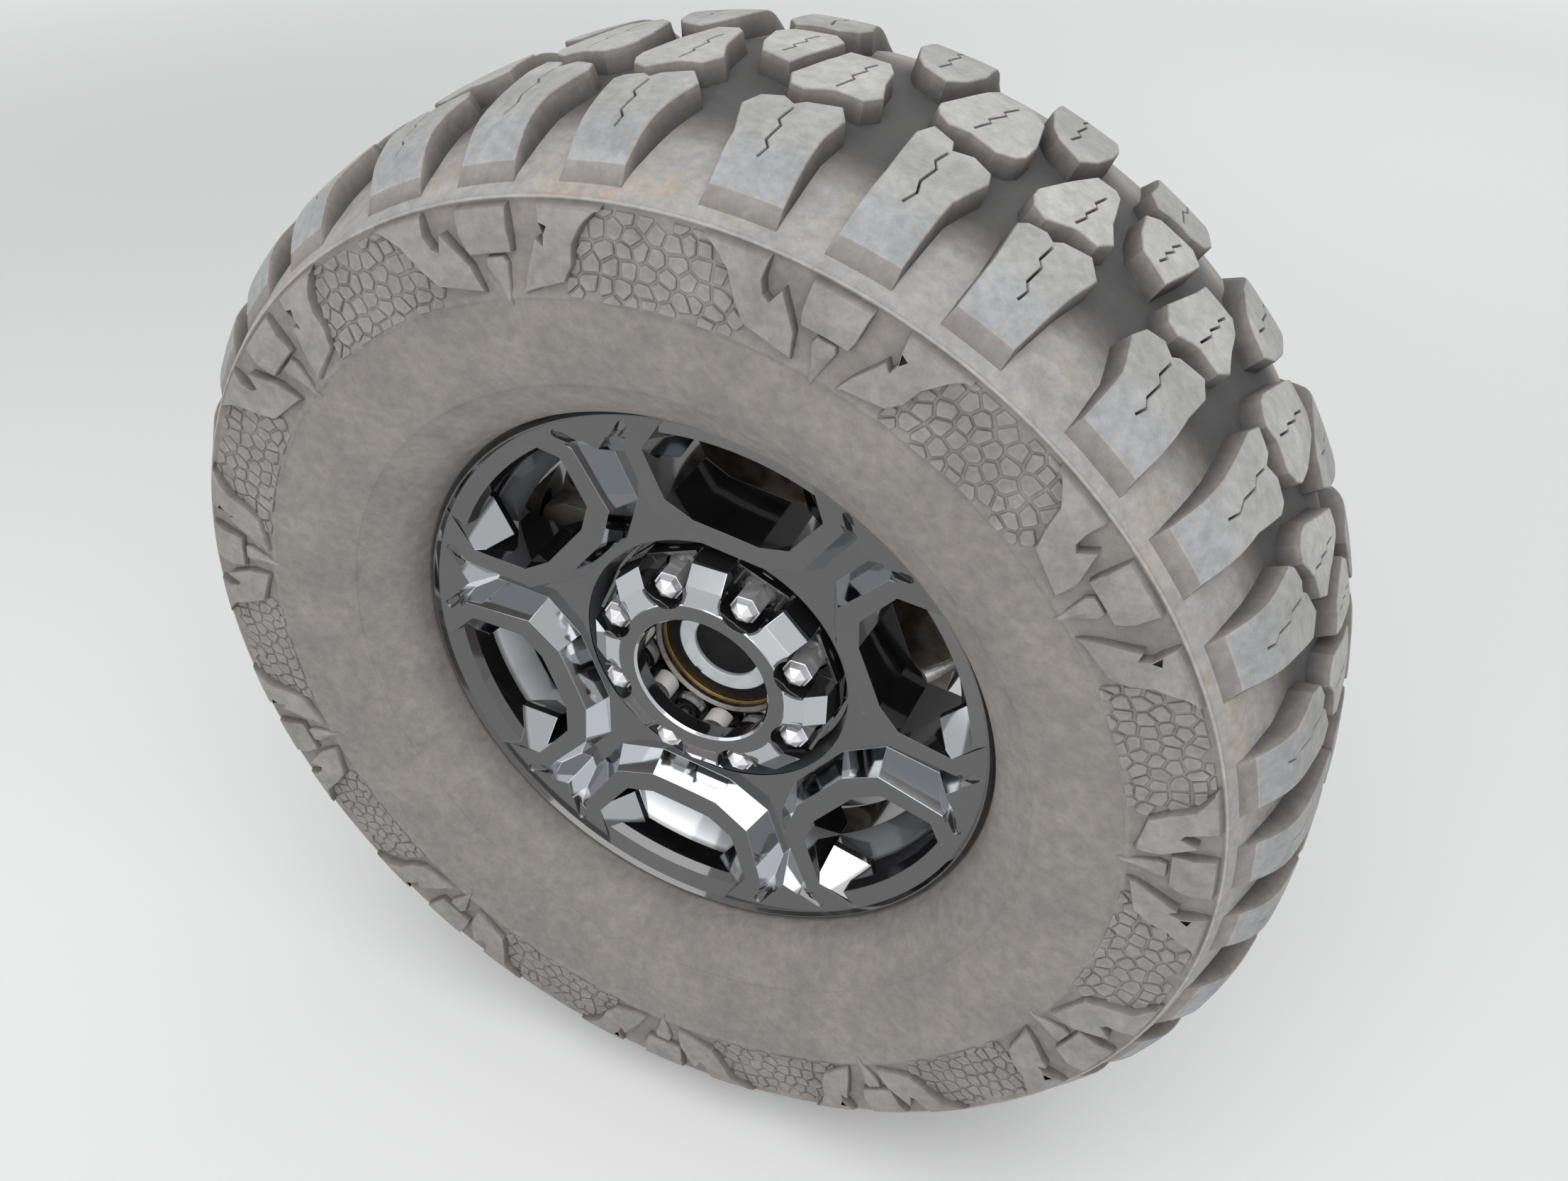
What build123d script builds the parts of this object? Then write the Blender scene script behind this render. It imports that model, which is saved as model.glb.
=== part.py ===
from build123d import *
import math
import os

# Front wheel end of a lifted off-road 4x4: tyre on alloy wheel, hub, brake, knuckle and axle end.
# Frame: origin at the inboard end of the axle tube, on the wheel's axle line.
# +X is the vehicle's forward side, -Y points outboard through the wheel, +Z is up.
# Lengths are in millimetres, angles in degrees. A "depth" is measured inboard from the outer rim lip.

# stations along the axle
tube_length = 110.0
yoke_throat = 90.0
kingpin_to_pad = 147.0
pad_depth = 75.0
kingpin_y = -(tube_length + yoke_throat)
pad_y = kingpin_y - kingpin_to_pad
lip_y = pad_y - pad_depth

# rim barrel
rim_width = 229.0
lip_r = 246.0
flange_height = 17.0
flange_thick = 12.0
bead_seat_width = 26.0
bead_drop = 1.5
well_drop = 21.0
well_front = 62.0
well_back = 92.0
barrel_drop = 7.0
barrel_front = 112.0
rim_wall = 6.0
lip_round = 2.5
bead_seat_r = lip_r - flange_height
well_r = bead_seat_r - well_drop
barrel_r = bead_seat_r - barrel_drop

# spoked face of the rim
land_r = lip_r - 5.5
land_depth = 4.5
land_slope = 0.098
spoke_count = 6
window_turn = 82.0
frame_band = 16.0
frame_taper = 27.0
pocket_taper = 3.0
web_depth = 38.0
recess_r = 116.4
recess_floor_r = 110.0
pad_thick = 15.0
ramp_front = 7.0
ramp_reach = 24.0
ramp_depth = 32.0
channel_width = 8.8
channel_depth = 6.5
pocket_long = 64.0
pocket_wide = 24.0
pocket_deep = 15.0
window_overrun = 1.25
frame_front = 10.0
island_tip_share = 0.8857
island_half_angle = 54.0
island_front = 6.0
ring_width = 15.0
web_inset = 11.0

# valve
valve_angle = 19.5
valve_lean = 47.5
valve_share = 0.45
valve_r = 5.0
valve_flange_r = 8.5
valve_flange_thick = 3.0
valve_length = 32.0
valve_cap_r = 5.8
valve_cap_length = 12.0

# hub, studs and nuts
stud_count = 8
stud_circle_r = 85.0
stud_turn = -23.3
stud_r = 7.0
journal_r = 36.0
journal_bore_r = 24.0
journal_length = 34.0
stud_hole_r = 8.2
centre_bore_r = 62.45
pilot_gap = 0.3
pilot_depth = 50.0
hub_flange_r = 98.0
hub_flange_thick = 14.0
hub_wall = 5.6
hub_pad_r = 80.0
nut_length = 48.0
nut_across_flats = 22.0
nut_flange_r = 16.5
nut_cone_share = 0.4
dome_inset = 0.8
# each step of the nut's tip, as (height, taper)
dome_steps = ((5.0, 25.0), (4.0, 55.0))

# locking hub
dial_r = 43.0
dial_bore_r = 29.0
dial_thick = 4.0
notch_turn = -128.0
ring_sheet = 1.4

# centre cap
cap_depth = 10.9
cap_bore_r = 57.8
cap_ring_r = 74.0
cap_wall = 3.0
cap_tube_depth = 26.0
finger_r = 103.0
finger_width = 30.0
finger_step = 5.0
finger_drop = 15.0
skirt_r = 108.0
skirt_depth = 39.0
nut_pocket_width = 35.0
well_depth = 47.0
well_offset = 13.0
well_end_half = 27.0
rib_offset = 4.6
clip_sheet = 0.9
clip_half = 8.0
clip_bulge = 3.4
clip_depth = 36.0

# tyre
tyre_half_width = 171.0
wall_relief = 5.8
tyre_wall = 13.0
crown_r = 470.0
crown_half = 110.0
crown_drop = 12.0
tread_depth = 16.0
lug_end = 146.0
shoulder_r = 438.0
short_pitch = 29.6
pitch_kinds = "LLLSLSLLSSL"
first_pitch_angle = 123.4

# brake
disc_r = 172.5
disc_thick = 38.0
disc_plate = 12.0
disc_depth = 130.0
disc_inner_r = 114.0
vane_count = 36
vane_thick = 4.0
hat_r = 106.0
hat_thick = 8.0
shield_gap = 8.0
shield_thick = 2.0
shield_lip = 6.0
shield_cut_x = 82.0
shield_cut_z = 97.0
press_rise = 3.0
caliper_r = 203.0
caliper_half = 60.0
caliper_plate = 13.0
bridge_r = 178.5
barrel_length = 46.0
piston_r = 27.0
slide_x = -172.0
slide_z = 77.0
slide_r = 6.5
bracket_thick = 14.0
pad_gap = 0.3
pad_length = 106.0
outer_lining = 8.0
outer_backing = 5.5
inner_lining = 3.0
inner_backing = 4.0

# bearing, knuckle and yoke
bearing_gap = 1.5
bearing_length = 36.0
bearing_nose_r = 60.0
bearing_flange_r = 86.0
knuckle_r = 88.0
knuckle_flange_r = 98.0
knuckle_bore_r = 54.0
knuckle_flange_thick = 12.0
pad_half = 56.0
ear_reach = 32.0
ear_flare = 41.6
ear_thick = 20.0
rib_thick = 20.0
rib_rise = 14.0
arm_reach = 168.0
arm_low = -66.0
arm_thick = 24.0
arm_eye_r = 19.0
arm_hole_r = 9.0
ball_stud_r = 11.0
boot_r = 23.0
joint_nut_r = 17.5
joint_nut_height = 11.0
boss_r = 27.0
upper_boss_near = 88.0
lower_boss_near = 58.0
boss_height = 28.0
joint_gap = 8.0
neck_r = 52.0
neck_bore_r = 26.0
neck_length = 18.0
yoke_arm_width = 44.0
yoke_clear = 48.0

# axle tube and shafts
tube_r = 44.45
tube_wall = 11.0
seal_y = -12.0
shaft_r = 19.0
shaft_neck = 1.5
shaft_overhang = 70.0
fork_gap = 50.0
fork_r = 34.0
fork_plate = 8.0
fork_ear_r = 16.0
ear_in = 22.0
ear_out = 36.0
cross_r = 10.7
cross_body_r = 14.0

# fits
run_gap = 0.3
press_gap = 0.1
sliver = 0.01
edge = 2.0

os.makedirs("parts", exist_ok=True)


def deep(depth):
    return lip_y + depth


def land(r):
    """front surface of the spoked face, a shallow cone"""
    return deep(land_depth + land_slope * (land_r - r))


def station(y):
    """plane across the axle, drawn as (X, Z) and facing outboard"""
    return Plane.XZ.offset(-y)


def turned(points, mode=Mode.ADD):
    """solid of revolution about the axle from (radius, y) points"""
    with BuildSketch(Plane.XY) as outline:
        with BuildLine():
            Polyline(*points, close=True)
        make_face()
    revolve(outline.sketch, axis=Axis.Y, mode=mode)


def washer(outer, inner, y_low, y_high, mode=Mode.ADD):
    turned([(inner, y_low), (outer, y_low), (outer, y_high), (inner, y_high)], mode)


def post(points):
    """solid of revolution about the kingpin from (radius, z) points"""
    with BuildSketch(Plane(origin=(0, kingpin_y, 0), x_dir=(0, 1, 0), z_dir=(1, 0, 0))) as outline:
        with BuildLine():
            Polyline(*points, close=True)
        make_face()
    revolve(outline.sketch, axis=Axis((0, kingpin_y, 0), (0, 0, 1)))


def polar(r, angle):
    return (r * math.cos(math.radians(angle)), r * math.sin(math.radians(angle)))


def finish(piece, label):
    piece.part.label = label
    export_step(piece.part, f"parts/{label}.step")


# Rim: turned barrel
inner_lip = lip_y + rim_width
air_r = barrel_r - rim_wall
well_air_r = well_r - rim_wall
seat_air_r = bead_seat_r - rim_wall - edge / 2.0
seat_end = flange_thick + bead_seat_width
barrel_outline = [
    (lip_r - lip_round, lip_y),
    (lip_r, lip_y + lip_round),
    (lip_r, deep(flange_thick) - lip_round),
    (bead_seat_r + edge, deep(flange_thick)),
    (bead_seat_r, deep(flange_thick) + edge),
    (bead_seat_r - bead_drop, deep(seat_end)),
    (well_r, deep(well_front)),
    (well_r, deep(well_back)),
    (barrel_r, deep(barrel_front)),
    (barrel_r, inner_lip - seat_end - 2 * rim_wall),
    (bead_seat_r - bead_drop, inner_lip - seat_end),
    (bead_seat_r, inner_lip - flange_thick - edge),
    (bead_seat_r + edge, inner_lip - flange_thick),
    (lip_r, inner_lip - flange_thick + lip_round),
    (lip_r, inner_lip - lip_round),
    (lip_r - lip_round, inner_lip),
    (lip_r - rim_wall, inner_lip),
    (seat_air_r + edge, inner_lip - flange_thick + 2 * edge),
    (air_r, inner_lip - seat_end - rim_wall),
    (air_r, deep(barrel_front) + edge),
    (well_air_r, deep(well_back) + edge),
    (well_air_r, deep(well_front) - 2 * edge),
    (seat_air_r, deep(seat_end)),
    (seat_air_r, deep(flange_thick) + rim_wall),
    (seat_air_r + 2 * edge, deep(flange_thick) - edge),
    (land_r, deep(land_depth)),
    (land_r + edge, lip_y),
]
# line inside the barrel wall on which the spoked face ends
root_inset = rim_wall / 2.0
root_line = [
    (land_r + edge, deep(land_depth) + edge),
    (seat_air_r + 2 * edge + root_inset, deep(flange_thick) - edge / 2.0),
    (seat_air_r + root_inset, deep(flange_thick) + rim_wall),
    (seat_air_r + root_inset, deep(seat_end) - edge),
    (well_air_r + root_inset, deep(well_front)),
    (well_air_r + root_inset, pad_y + edge),
]

# Rim: window outline on the +Z side, each half as shares of the land's radius (across, out)
window_shares = ((0.112, 0.626), (0.212, 0.665), (0.3015, 0.8295), (0.2433, 0.9605))
window_half = [(land_r * across, land_r * out) for across, out in window_shares]
wide_point, corner_point = window_half[2:]
window_end = tuple(w + window_overrun * (c - w) for w, c in zip(wide_point, corner_point))
window_path = window_half[:3] + [window_end]
with BuildSketch() as window:
    with BuildLine():
        right_side = Polyline(*window_path)
        left_side = Polyline(*[(-x, z) for x, z in window_path])
        Line(left_side @ 0, right_side @ 0)
        ThreePointArc(right_side @ 1, (0, land_r + 5 * edge), left_side @ 1)
    make_face()

# frames round the windows, and a flat island between each pair near the lip
frame_rise = web_depth + edge / 2.0
frame_spread = (web_depth - frame_front) * math.tan(math.radians(frame_taper))
island_tip_r = island_tip_share * land_r
island_spread = (web_depth - island_front) * math.tan(math.radians(frame_taper))
island_apex = island_tip_r - island_spread / math.sin(math.radians(island_half_angle))
island_out = land_r + 5 * edge
island_half = (island_out - island_apex) * math.tan(math.radians(island_half_angle))
island_turn = window_turn + 180.0 / spoke_count
with BuildPart() as frames:
    with BuildSketch(station(deep(frame_rise))):
        with PolarLocations(0, spoke_count, start_angle=window_turn - 90.0):
            add(offset(window.sketch, frame_band + frame_spread, kind=Kind.INTERSECTION, mode=Mode.PRIVATE))
    extrude(amount=frame_rise, taper=frame_taper)
    with BuildSketch(station(deep(frame_rise))):
        with PolarLocations(0, spoke_count, start_angle=island_turn):
            Polygon((island_apex, 0), (island_out, island_half), (island_out, -island_half), align=None)
    extrude(amount=frame_rise, taper=frame_taper)

with BuildPart() as pockets:
    with BuildSketch(station(lip_y)):
        with PolarLocations(0, spoke_count, start_angle=window_turn - 90.0):
            add(window.sketch)
    extrude(amount=-pad_depth - 5 * edge, taper=pocket_taper)

# sloped ramps in the outer corners of the windows
side_x = corner_point[0] - wide_point[0]
side_z = corner_point[1] - wide_point[1]
side_length = math.hypot(side_x, side_z)
ramp_plane = Plane(
    origin=(-wide_point[0], deep(0), wide_point[1]),
    x_dir=(side_z / side_length, 0, side_x / side_length),
    z_dir=(-side_x / side_length, 0, side_z / side_length),
)
with BuildPart() as ramp:
    with BuildSketch(ramp_plane.offset(-2 * edge)):
        Polygon(
            (-3 * edge, ramp_front - edge),
            (0, ramp_front),
            (ramp_reach, ramp_depth),
            (ramp_reach, ramp_depth + 3 * edge),
            (0, pad_depth - 2 * edge),
            (-3 * edge, pad_depth - 2 * edge),
            align=None,
        )
    extrude(amount=side_length + 5 * edge)
ramp_pair = [ramp.part, ramp.part.mirror(Plane.YZ)]
ramp_turns = [90.0 - window_turn - i * 360.0 / spoke_count for i in range(spoke_count)]
ramps = [one.rotate(Axis.Y, turn) for one in ramp_pair for turn in ramp_turns]

ring_in = land_r - ring_width
channel_line = island_tip_r * math.sin(math.radians(island_half_angle)) - channel_width / 2.0
channel_end = math.sqrt((land_r - channel_width) ** 2 - channel_line**2)
channel_length = 3.0 * channel_width
channel_sin = math.sin(math.radians(island_half_angle))
channel_cos = math.cos(math.radians(island_half_angle))
channel_mid = channel_end - channel_length / 2.0
channel_out = channel_line * channel_sin + channel_mid * channel_cos
channel_side = channel_mid * channel_sin - channel_line * channel_cos
with BuildPart() as face:
    turned(
        [
            (centre_bore_r, deep(web_depth)),
            (seat_air_r - web_inset, deep(web_depth) - 2 * edge),
            (ring_in, lip_y - edge),
            (lip_r, lip_y - edge),
            (lip_r, deep(well_front) + 4 * edge),
            (recess_r, pad_y),
            (centre_bore_r, pad_y),
        ]
    )
    add(frames.part)
    add(pockets.part, mode=Mode.SUBTRACT)
    add(ramps)
    turned(
        [
            (0, land(0)),
            (2 * lip_r, land(2 * lip_r)),
            (2 * lip_r, lip_y - pad_depth),
            (0, lip_y - pad_depth),
        ],
        Mode.SUBTRACT,
    )
    turned(
        [
            (land_r + edge, lip_y - pad_depth),
            *root_line,
            (2 * lip_r, pad_y + edge),
            (2 * lip_r, lip_y - pad_depth),
        ],
        Mode.SUBTRACT,
    )
    turned(
        [
            (0, lip_y - pad_depth),
            (recess_r + sliver, lip_y - pad_depth),
            (recess_r, deep(web_depth)),
            (recess_floor_r, pad_y - pad_thick),
            (0, pad_y - pad_thick),
        ],
        Mode.SUBTRACT,
    )
    with BuildSketch(station(pad_y + edge)):
        with PolarLocations(stud_circle_r, stud_count, start_angle=stud_turn):
            Circle(stud_hole_r)
    extrude(amount=pad_depth, mode=Mode.SUBTRACT)
    with BuildSketch(station(deep(land_depth))):
        with PolarLocations(0, spoke_count, start_angle=island_turn):
            for side in (-1, 1):
                with Locations((channel_out, side * channel_side)):
                    SlotCenterToCenter(channel_length, channel_width, rotation=side * island_half_angle)
    extrude(amount=-channel_depth, taper=frame_taper, mode=Mode.SUBTRACT)
    with BuildSketch(station(pad_y + edge)):
        with PolarLocations((recess_r + ring_in) / 2.0, spoke_count, start_angle=island_turn):
            SlotOverall(pocket_long, pocket_wide)
    extrude(amount=pocket_deep, taper=frame_taper / 3.0, mode=Mode.SUBTRACT)

# Valve: stands on the slope between the bead seat and the well
valve_base_r = seat_air_r + valve_share * (well_air_r - seat_air_r)
valve_base_y = deep(seat_end) + valve_share * (well_front - 2 * edge - seat_end)
valve_sin = math.sin(math.radians(valve_lean))
valve_cos = math.cos(math.radians(valve_lean))
base_x, base_z = polar(valve_base_r, valve_angle)
out_x, out_z = polar(1.0, valve_angle)
valve_plane = Plane(
    origin=(base_x, valve_base_y, base_z),
    z_dir=(-valve_sin * out_x, -valve_cos, -valve_sin * out_z),
)

with BuildPart() as rim:
    turned(barrel_outline)
    add(face.part)
    with BuildSketch(valve_plane.offset(-edge / 4.0)):
        Circle(valve_flange_r + run_gap)
    extrude(amount=2 * rim_wall, mode=Mode.SUBTRACT)
    with BuildSketch(valve_plane.offset(-3 * rim_wall)):
        Circle(valve_r + run_gap)
    extrude(amount=4 * rim_wall, mode=Mode.SUBTRACT)
finish(rim, "rim")

with BuildPart() as valve_stem:
    for start, radius, length in (
        (-2 * rim_wall, valve_r, valve_length),
        (-edge / 4.0, valve_flange_r, valve_flange_thick),
        (valve_length - valve_cap_length, valve_cap_r, valve_cap_length),
    ):
        with BuildSketch(valve_plane.offset(start)):
            Circle(radius)
        extrude(amount=length)
finish(valve_stem, "valve_stem")

# Tyre: a turned carcass. Flank points are shares of the height from the rim lip to the crown
mid_y = lip_y + rim_width / 2.0
bead_half = rim_width / 2.0 - flange_thick - run_gap
bead_r = bead_seat_r + run_gap


def flank(share):
    return lip_r + share * (crown_r - lip_r)


def side(r, across):
    """point of the outboard half, from the distance to the middle plane"""
    return (r, mid_y - across)


# half of the section from the crown out, and back inside the wall: (share of the flank, inset)
outer_wall = ((0.788, 7.0), (0.62, 0.0), (0.42, 0.0), (0.192, 14.0), (0.038, 40.0))
inner_wall = ((0.018, 60.0), (0.24, 10.0), (0.473, 0.0), (0.6875, 6.0))
ground_r = crown_r - tread_depth
half_section = [
    side(ground_r, 0),
    side(ground_r - crown_drop, crown_half),
    *[side(flank(share), tyre_half_width - inset) for share, inset in outer_wall],
    side(lip_r + edge, bead_half + 5 * edge),
    side(lip_r, bead_half),
    side(bead_r + edge, bead_half),
    side(bead_r, bead_half - edge),
    side(bead_r, bead_half - bead_seat_width + edge),
    *[side(flank(share), tyre_half_width - tyre_wall - inset) for share, inset in inner_wall],
    side(ground_r - crown_drop - tyre_wall / 2.0, crown_half),
    side(ground_r - tyre_wall, 0),
]
with BuildPart() as half_carcass:
    turned(half_section)

# Tyre: lugs of one pitch, as degrees clockwise from the patch (back from the next one when negative)
# and a plan outline of (along the tread, across it from the middle plane)
shoulder_lugs = (
    (5.6, ((-22, lug_end), (-31, 84), (-16, 65), (24, 57), (32, 74), (31, lug_end))),
    (17.0, ((-23, lug_end), (-22, 48), (-14, 32), (33, 50), (23, 97), (22, lug_end))),
    (-6.7, ((-26, lug_end), (-26, 78), (2, 64), (24, 57), (33, 74), (19, lug_end))),
    (-10.8, ((12, -34), (-20, -62), (-22, -lug_end), (27, -lug_end))),
    (0.6, ((27, -70), (-27, -66), (-29, -lug_end), (20, -lug_end))),
    (11.4, ((12, -36), (-18, -62), (-20, -lug_end), (27, -lug_end))),
)
centre_blocks = (
    (-6.7, ((-30, 31), (-20, 54), (28, 38), (14, -32), (-5, -31))),
    (5.6, ((-23, 34), (-12, 48), (37, 34), (24, -28), (-6, -26))),
    (17.0, ((-25, 2), (-10, 21), (40, 14), (34, -54), (-6, -60))),
    (0.3, ((13, 17), (-18, -2), (-20, -45), (22, -51), (28, -34))),
)
# top of the shoulder lugs, as (across, drop below the crown), and their foot under it
shoulder_top = ((30.0, 0.0), (110.0, 8.5), (lug_end, crown_r - shoulder_r))
shoulder_foot = [(across, drop + tread_depth + 3 * edge) for across, drop in shoulder_top]
kinds = {"S": short_pitch, "L": (360.0 - short_pitch * pitch_kinds.count("S")) / pitch_kinds.count("L")}


def plan_lug(outline, stretch, low_r, high_r):
    """a lug on the +X side, its plan square to the radius"""
    with BuildPart() as blank:
        with BuildSketch(Plane(origin=(low_r, mid_y, 0), x_dir=(0, 0, -1), z_dir=(1, 0, 0))):
            Polygon(*[(along * stretch, -across) for along, across in outline], align=None)
        extrude(amount=high_r - low_r)
    return blank.part


def shoulder_lug(outline, stretch):
    """a shoulder lug, with its top and foot on the shoulder's slopes"""
    half = math.copysign(1.0, outline[0][1])
    path = [side(crown_r - drop, half * across) for across, drop in shoulder_top]
    path += [side(crown_r - drop, half * across) for across, drop in shoulder_foot[::-1]]
    with BuildPart() as lug:
        add(plan_lug(outline, stretch, crown_r - 4 * tread_depth, crown_r + edge))
        with BuildSketch(Plane.XY.offset(-3 * tread_depth)):
            Polygon(*path, align=None)
        extrude(amount=6 * tread_depth, mode=Mode.INTERSECT)
    return lug.part


patches = []
patch_angle = first_pitch_angle
for kind in pitch_kinds:
    patches.append((kind, patch_angle))
    patch_angle -= kinds[kind]


def lug_angle(place, kind, patch):
    start = patch if place >= 0 else patch - kinds[kind]
    return start - place * kinds[kind] / kinds["L"]


lugs = []
for kind, pitch in kinds.items():
    stretch = pitch / kinds["L"]
    low_r = crown_r - tread_depth - 2 * edge
    blanks = [(place, shoulder_lug(outline, stretch)) for place, outline in shoulder_lugs]
    blanks += [(place, plan_lug(outline, stretch, low_r, crown_r)) for place, outline in centre_blocks]
    angles = [patch for name, patch in patches if name == kind]
    for place, blank in blanks:
        lugs += [blank.rotate(Axis.Y, -lug_angle(place, kind, angle)) for angle in angles]

# Tyre: raised claws, block and thorn on the outboard sidewall, as (degrees from the patch, flank share)
wall_shapes = (
    ((5.0, 0.768), (10.2, 0.768), (12.2, 0.695), (14.4, 0.515), (9.2, 0.56), (7.0, 0.695)),
    ((-5.6, 0.768), (-11.2, 0.768), (-12.2, 0.68), (-14.8, 0.51), (-9.6, 0.555), (-7.6, 0.685)),
    ((14.3, 0.765), (19.7, 0.765), (19.4, 0.634), (14.6, 0.634)),
    ((16.1, 0.615), (18.2, 0.615), (17.2, 0.475)),
)
with BuildPart() as tyre:
    add(half_carcass.part)
    add(half_carcass.part.mirror(Plane.XZ.offset(-mid_y)))
    add(lugs)
    with BuildSketch(station(mid_y - tyre_half_width - wall_relief)):
        for kind, patch in patches:
            for shape in wall_shapes:
                corners = [polar(flank(share), lug_angle(turn, kind, patch)) for turn, share in shape]
                Polygon(*corners, align=None)
    extrude(amount=-(wall_relief + tyre_wall - edge))
finish(tyre, "tyre")

# Lug nuts on their studs
nut_seat_y = pad_y - pad_thick
nut_half = nut_across_flats / 2.0
dome_height = sum(height for height, taper in dome_steps)
nut_shoulder_y = nut_seat_y - nut_length + dome_height
with BuildPart() as nut:
    with BuildSketch(station(nut_seat_y - 3 * edge)):
        RegularPolygon(nut_half, 6, major_radius=False)
    extrude(amount=nut_seat_y - 3 * edge - nut_shoulder_y)
    turned(
        [
            (0, nut_seat_y),
            (nut_flange_r - edge, nut_seat_y),
            (nut_flange_r, nut_seat_y - edge),
            (nut_flange_r, nut_seat_y - 3 * edge),
            (nut_half - press_gap, nut_seat_y - nut_cone_share * nut_length),
            (0, nut_seat_y - nut_cone_share * nut_length),
        ]
    )
    dome_half = nut_half - dome_inset
    dome_y = nut_shoulder_y
    for height, taper in dome_steps:
        with BuildSketch(station(dome_y)):
            RegularPolygon(dome_half, 6, major_radius=False)
        extrude(amount=height, taper=taper)
        dome_half -= height * math.tan(math.radians(taper))
        dome_y -= height
    with BuildSketch(station(nut_seat_y + edge / 2.0)):
        Circle(stud_r + press_gap)
    extrude(amount=nut_seat_y + edge / 2.0 - nut_shoulder_y, mode=Mode.SUBTRACT)

for i in range(stud_count):
    stud_x, stud_z = polar(stud_circle_r, stud_turn + i * 360.0 / stud_count)
    with BuildPart() as lug_nut:
        add(nut.part.moved(Location((stud_x, 0, stud_z))))
    finish(lug_nut, f"lug_nut_{i + 1}")

# Hub with its studs and pilot, carried in the bearing
disc_face_y = pad_y + hat_thick
hub_back_y = disc_face_y + hub_flange_thick
pilot_r = centre_bore_r - pilot_gap
pilot_y = deep(pilot_depth)
hub_bore_r = pilot_r - hub_wall
with BuildPart() as hub:
    turned(
        [
            (hub_bore_r, pilot_y + edge),
            (pilot_r - edge, pilot_y),
            (pilot_r, pilot_y + edge),
            (pilot_r, disc_face_y),
            (hub_flange_r - edge, disc_face_y),
            (hub_flange_r, disc_face_y + edge),
            (hub_flange_r, hub_back_y - edge),
            (hub_pad_r, hub_back_y - edge),
            (bearing_nose_r, hub_back_y),
            (journal_r, hub_back_y),
            (journal_r, hub_back_y + journal_length),
            (journal_bore_r, hub_back_y + journal_length),
            (journal_bore_r, disc_face_y + edge),
            (hub_bore_r, disc_face_y - edge),
        ]
    )
    with BuildSketch(station(hub_back_y)):
        with PolarLocations(stud_circle_r, stud_count, start_angle=stud_turn):
            Circle(stud_r)
    extrude(amount=hub_back_y - nut_shoulder_y - edge)
finish(hub, "hub")

# Brake disc: two plates joined by vanes, on a hat
disc_y = deep(disc_depth)
disc_back = disc_y + disc_thick
hat_bore_r = centre_bore_r + press_gap
with BuildPart() as brake_disc:
    turned(
        [
            (hat_bore_r, pad_y),
            (hat_r - edge, pad_y),
            (hat_r, pad_y + edge),
            (disc_inner_r, disc_y),
            (disc_r, disc_y),
            (disc_r, disc_y + disc_plate),
            (disc_inner_r, disc_y + disc_plate),
            (disc_inner_r - hat_thick, disc_y),
            (hat_r - hat_thick, disc_face_y),
            (hat_bore_r, disc_face_y),
        ]
    )
    washer(disc_r, disc_inner_r, disc_back - disc_plate, disc_back)
    with BuildSketch(station(disc_back - disc_plate / 2.0)):
        with PolarLocations((disc_r + disc_inner_r) / 2.0 + edge, vane_count):
            Rectangle(disc_r - disc_inner_r - 3 * edge, vane_thick)
    extrude(amount=disc_thick - disc_plate)
    with BuildSketch(station(disc_face_y)):
        with PolarLocations(stud_circle_r, stud_count, start_angle=stud_turn):
            Circle(stud_r + run_gap)
    extrude(amount=hat_thick, mode=Mode.SUBTRACT)
finish(brake_disc, "brake_disc")

# Locking hub body, its dial and its retaining ring
lock_r = hub_bore_r - press_gap
lock_y = pilot_y + 6 * edge
with BuildPart() as locking_hub:
    washer(lock_r, journal_bore_r - 3 * edge, lock_y, disc_face_y - edge)
    washer(dial_bore_r + 3 * edge, 0, lock_y, lock_y + 4 * edge)
    washer(dial_bore_r - 4 * edge, 0, lock_y - edge, lock_y)
finish(locking_hub, "locking_hub")
with BuildPart() as lock_dial:
    turned(
        [
            (dial_bore_r, lock_y),
            (dial_r, lock_y),
            (dial_r, lock_y - dial_thick + edge / 2.0),
            (dial_r - edge / 2.0, lock_y - dial_thick),
            (dial_bore_r + edge / 2.0, lock_y - dial_thick),
            (dial_bore_r, lock_y - dial_thick + edge / 2.0),
        ]
    )
    with BuildSketch(station(lock_y - dial_thick)):
        with PolarLocations(dial_r, 2, start_angle=notch_turn):
            SlotOverall(5 * edge, 3 * edge)
    extrude(amount=-dial_thick / 2.0, mode=Mode.SUBTRACT)
finish(lock_dial, "lock_dial")
with BuildPart() as retaining_ring:
    washer(lock_r, lock_r - ring_sheet, lock_y - 2 * edge, lock_y)
finish(retaining_ring, "retaining_ring")

# Centre cap: ring and tube, a hollow finger between each two nuts, end plates and nut wells
cap_y = deep(cap_depth)
cap_back = nut_seat_y - cap_wall
skirt_y = deep(skirt_depth)
finger_turn = stud_turn + 180.0 / stud_count
finger_mid_r = (cap_ring_r + finger_r) / 2.0
finger_end_r = skirt_r - cap_wall
well_floor_y = deep(well_depth)
well_r_mid = cap_ring_r + well_offset
rib_r = cap_ring_r + rib_offset


def finger_body(inset):
    """a finger on the +X side, drawn as (radius, y); inset gives the hollow inside it"""
    with BuildPart() as body:
        with BuildSketch(Plane.XY.offset(inset - finger_width / 2.0)):
            Polygon(
                (cap_bore_r + 3 * cap_wall, cap_back + inset),
                (cap_bore_r + 3 * cap_wall, cap_y + cap_wall - edge / 4.0),
                (cap_ring_r - 1.5 * edge, cap_y + inset),
                (finger_mid_r, cap_y + finger_step + inset),
                (finger_r - inset, cap_y + finger_drop + inset),
                (finger_end_r - inset, skirt_y),
                (finger_end_r - inset, cap_back + inset),
                align=None,
            )
        extrude(amount=finger_width - 2 * inset)
    return body.part


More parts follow.
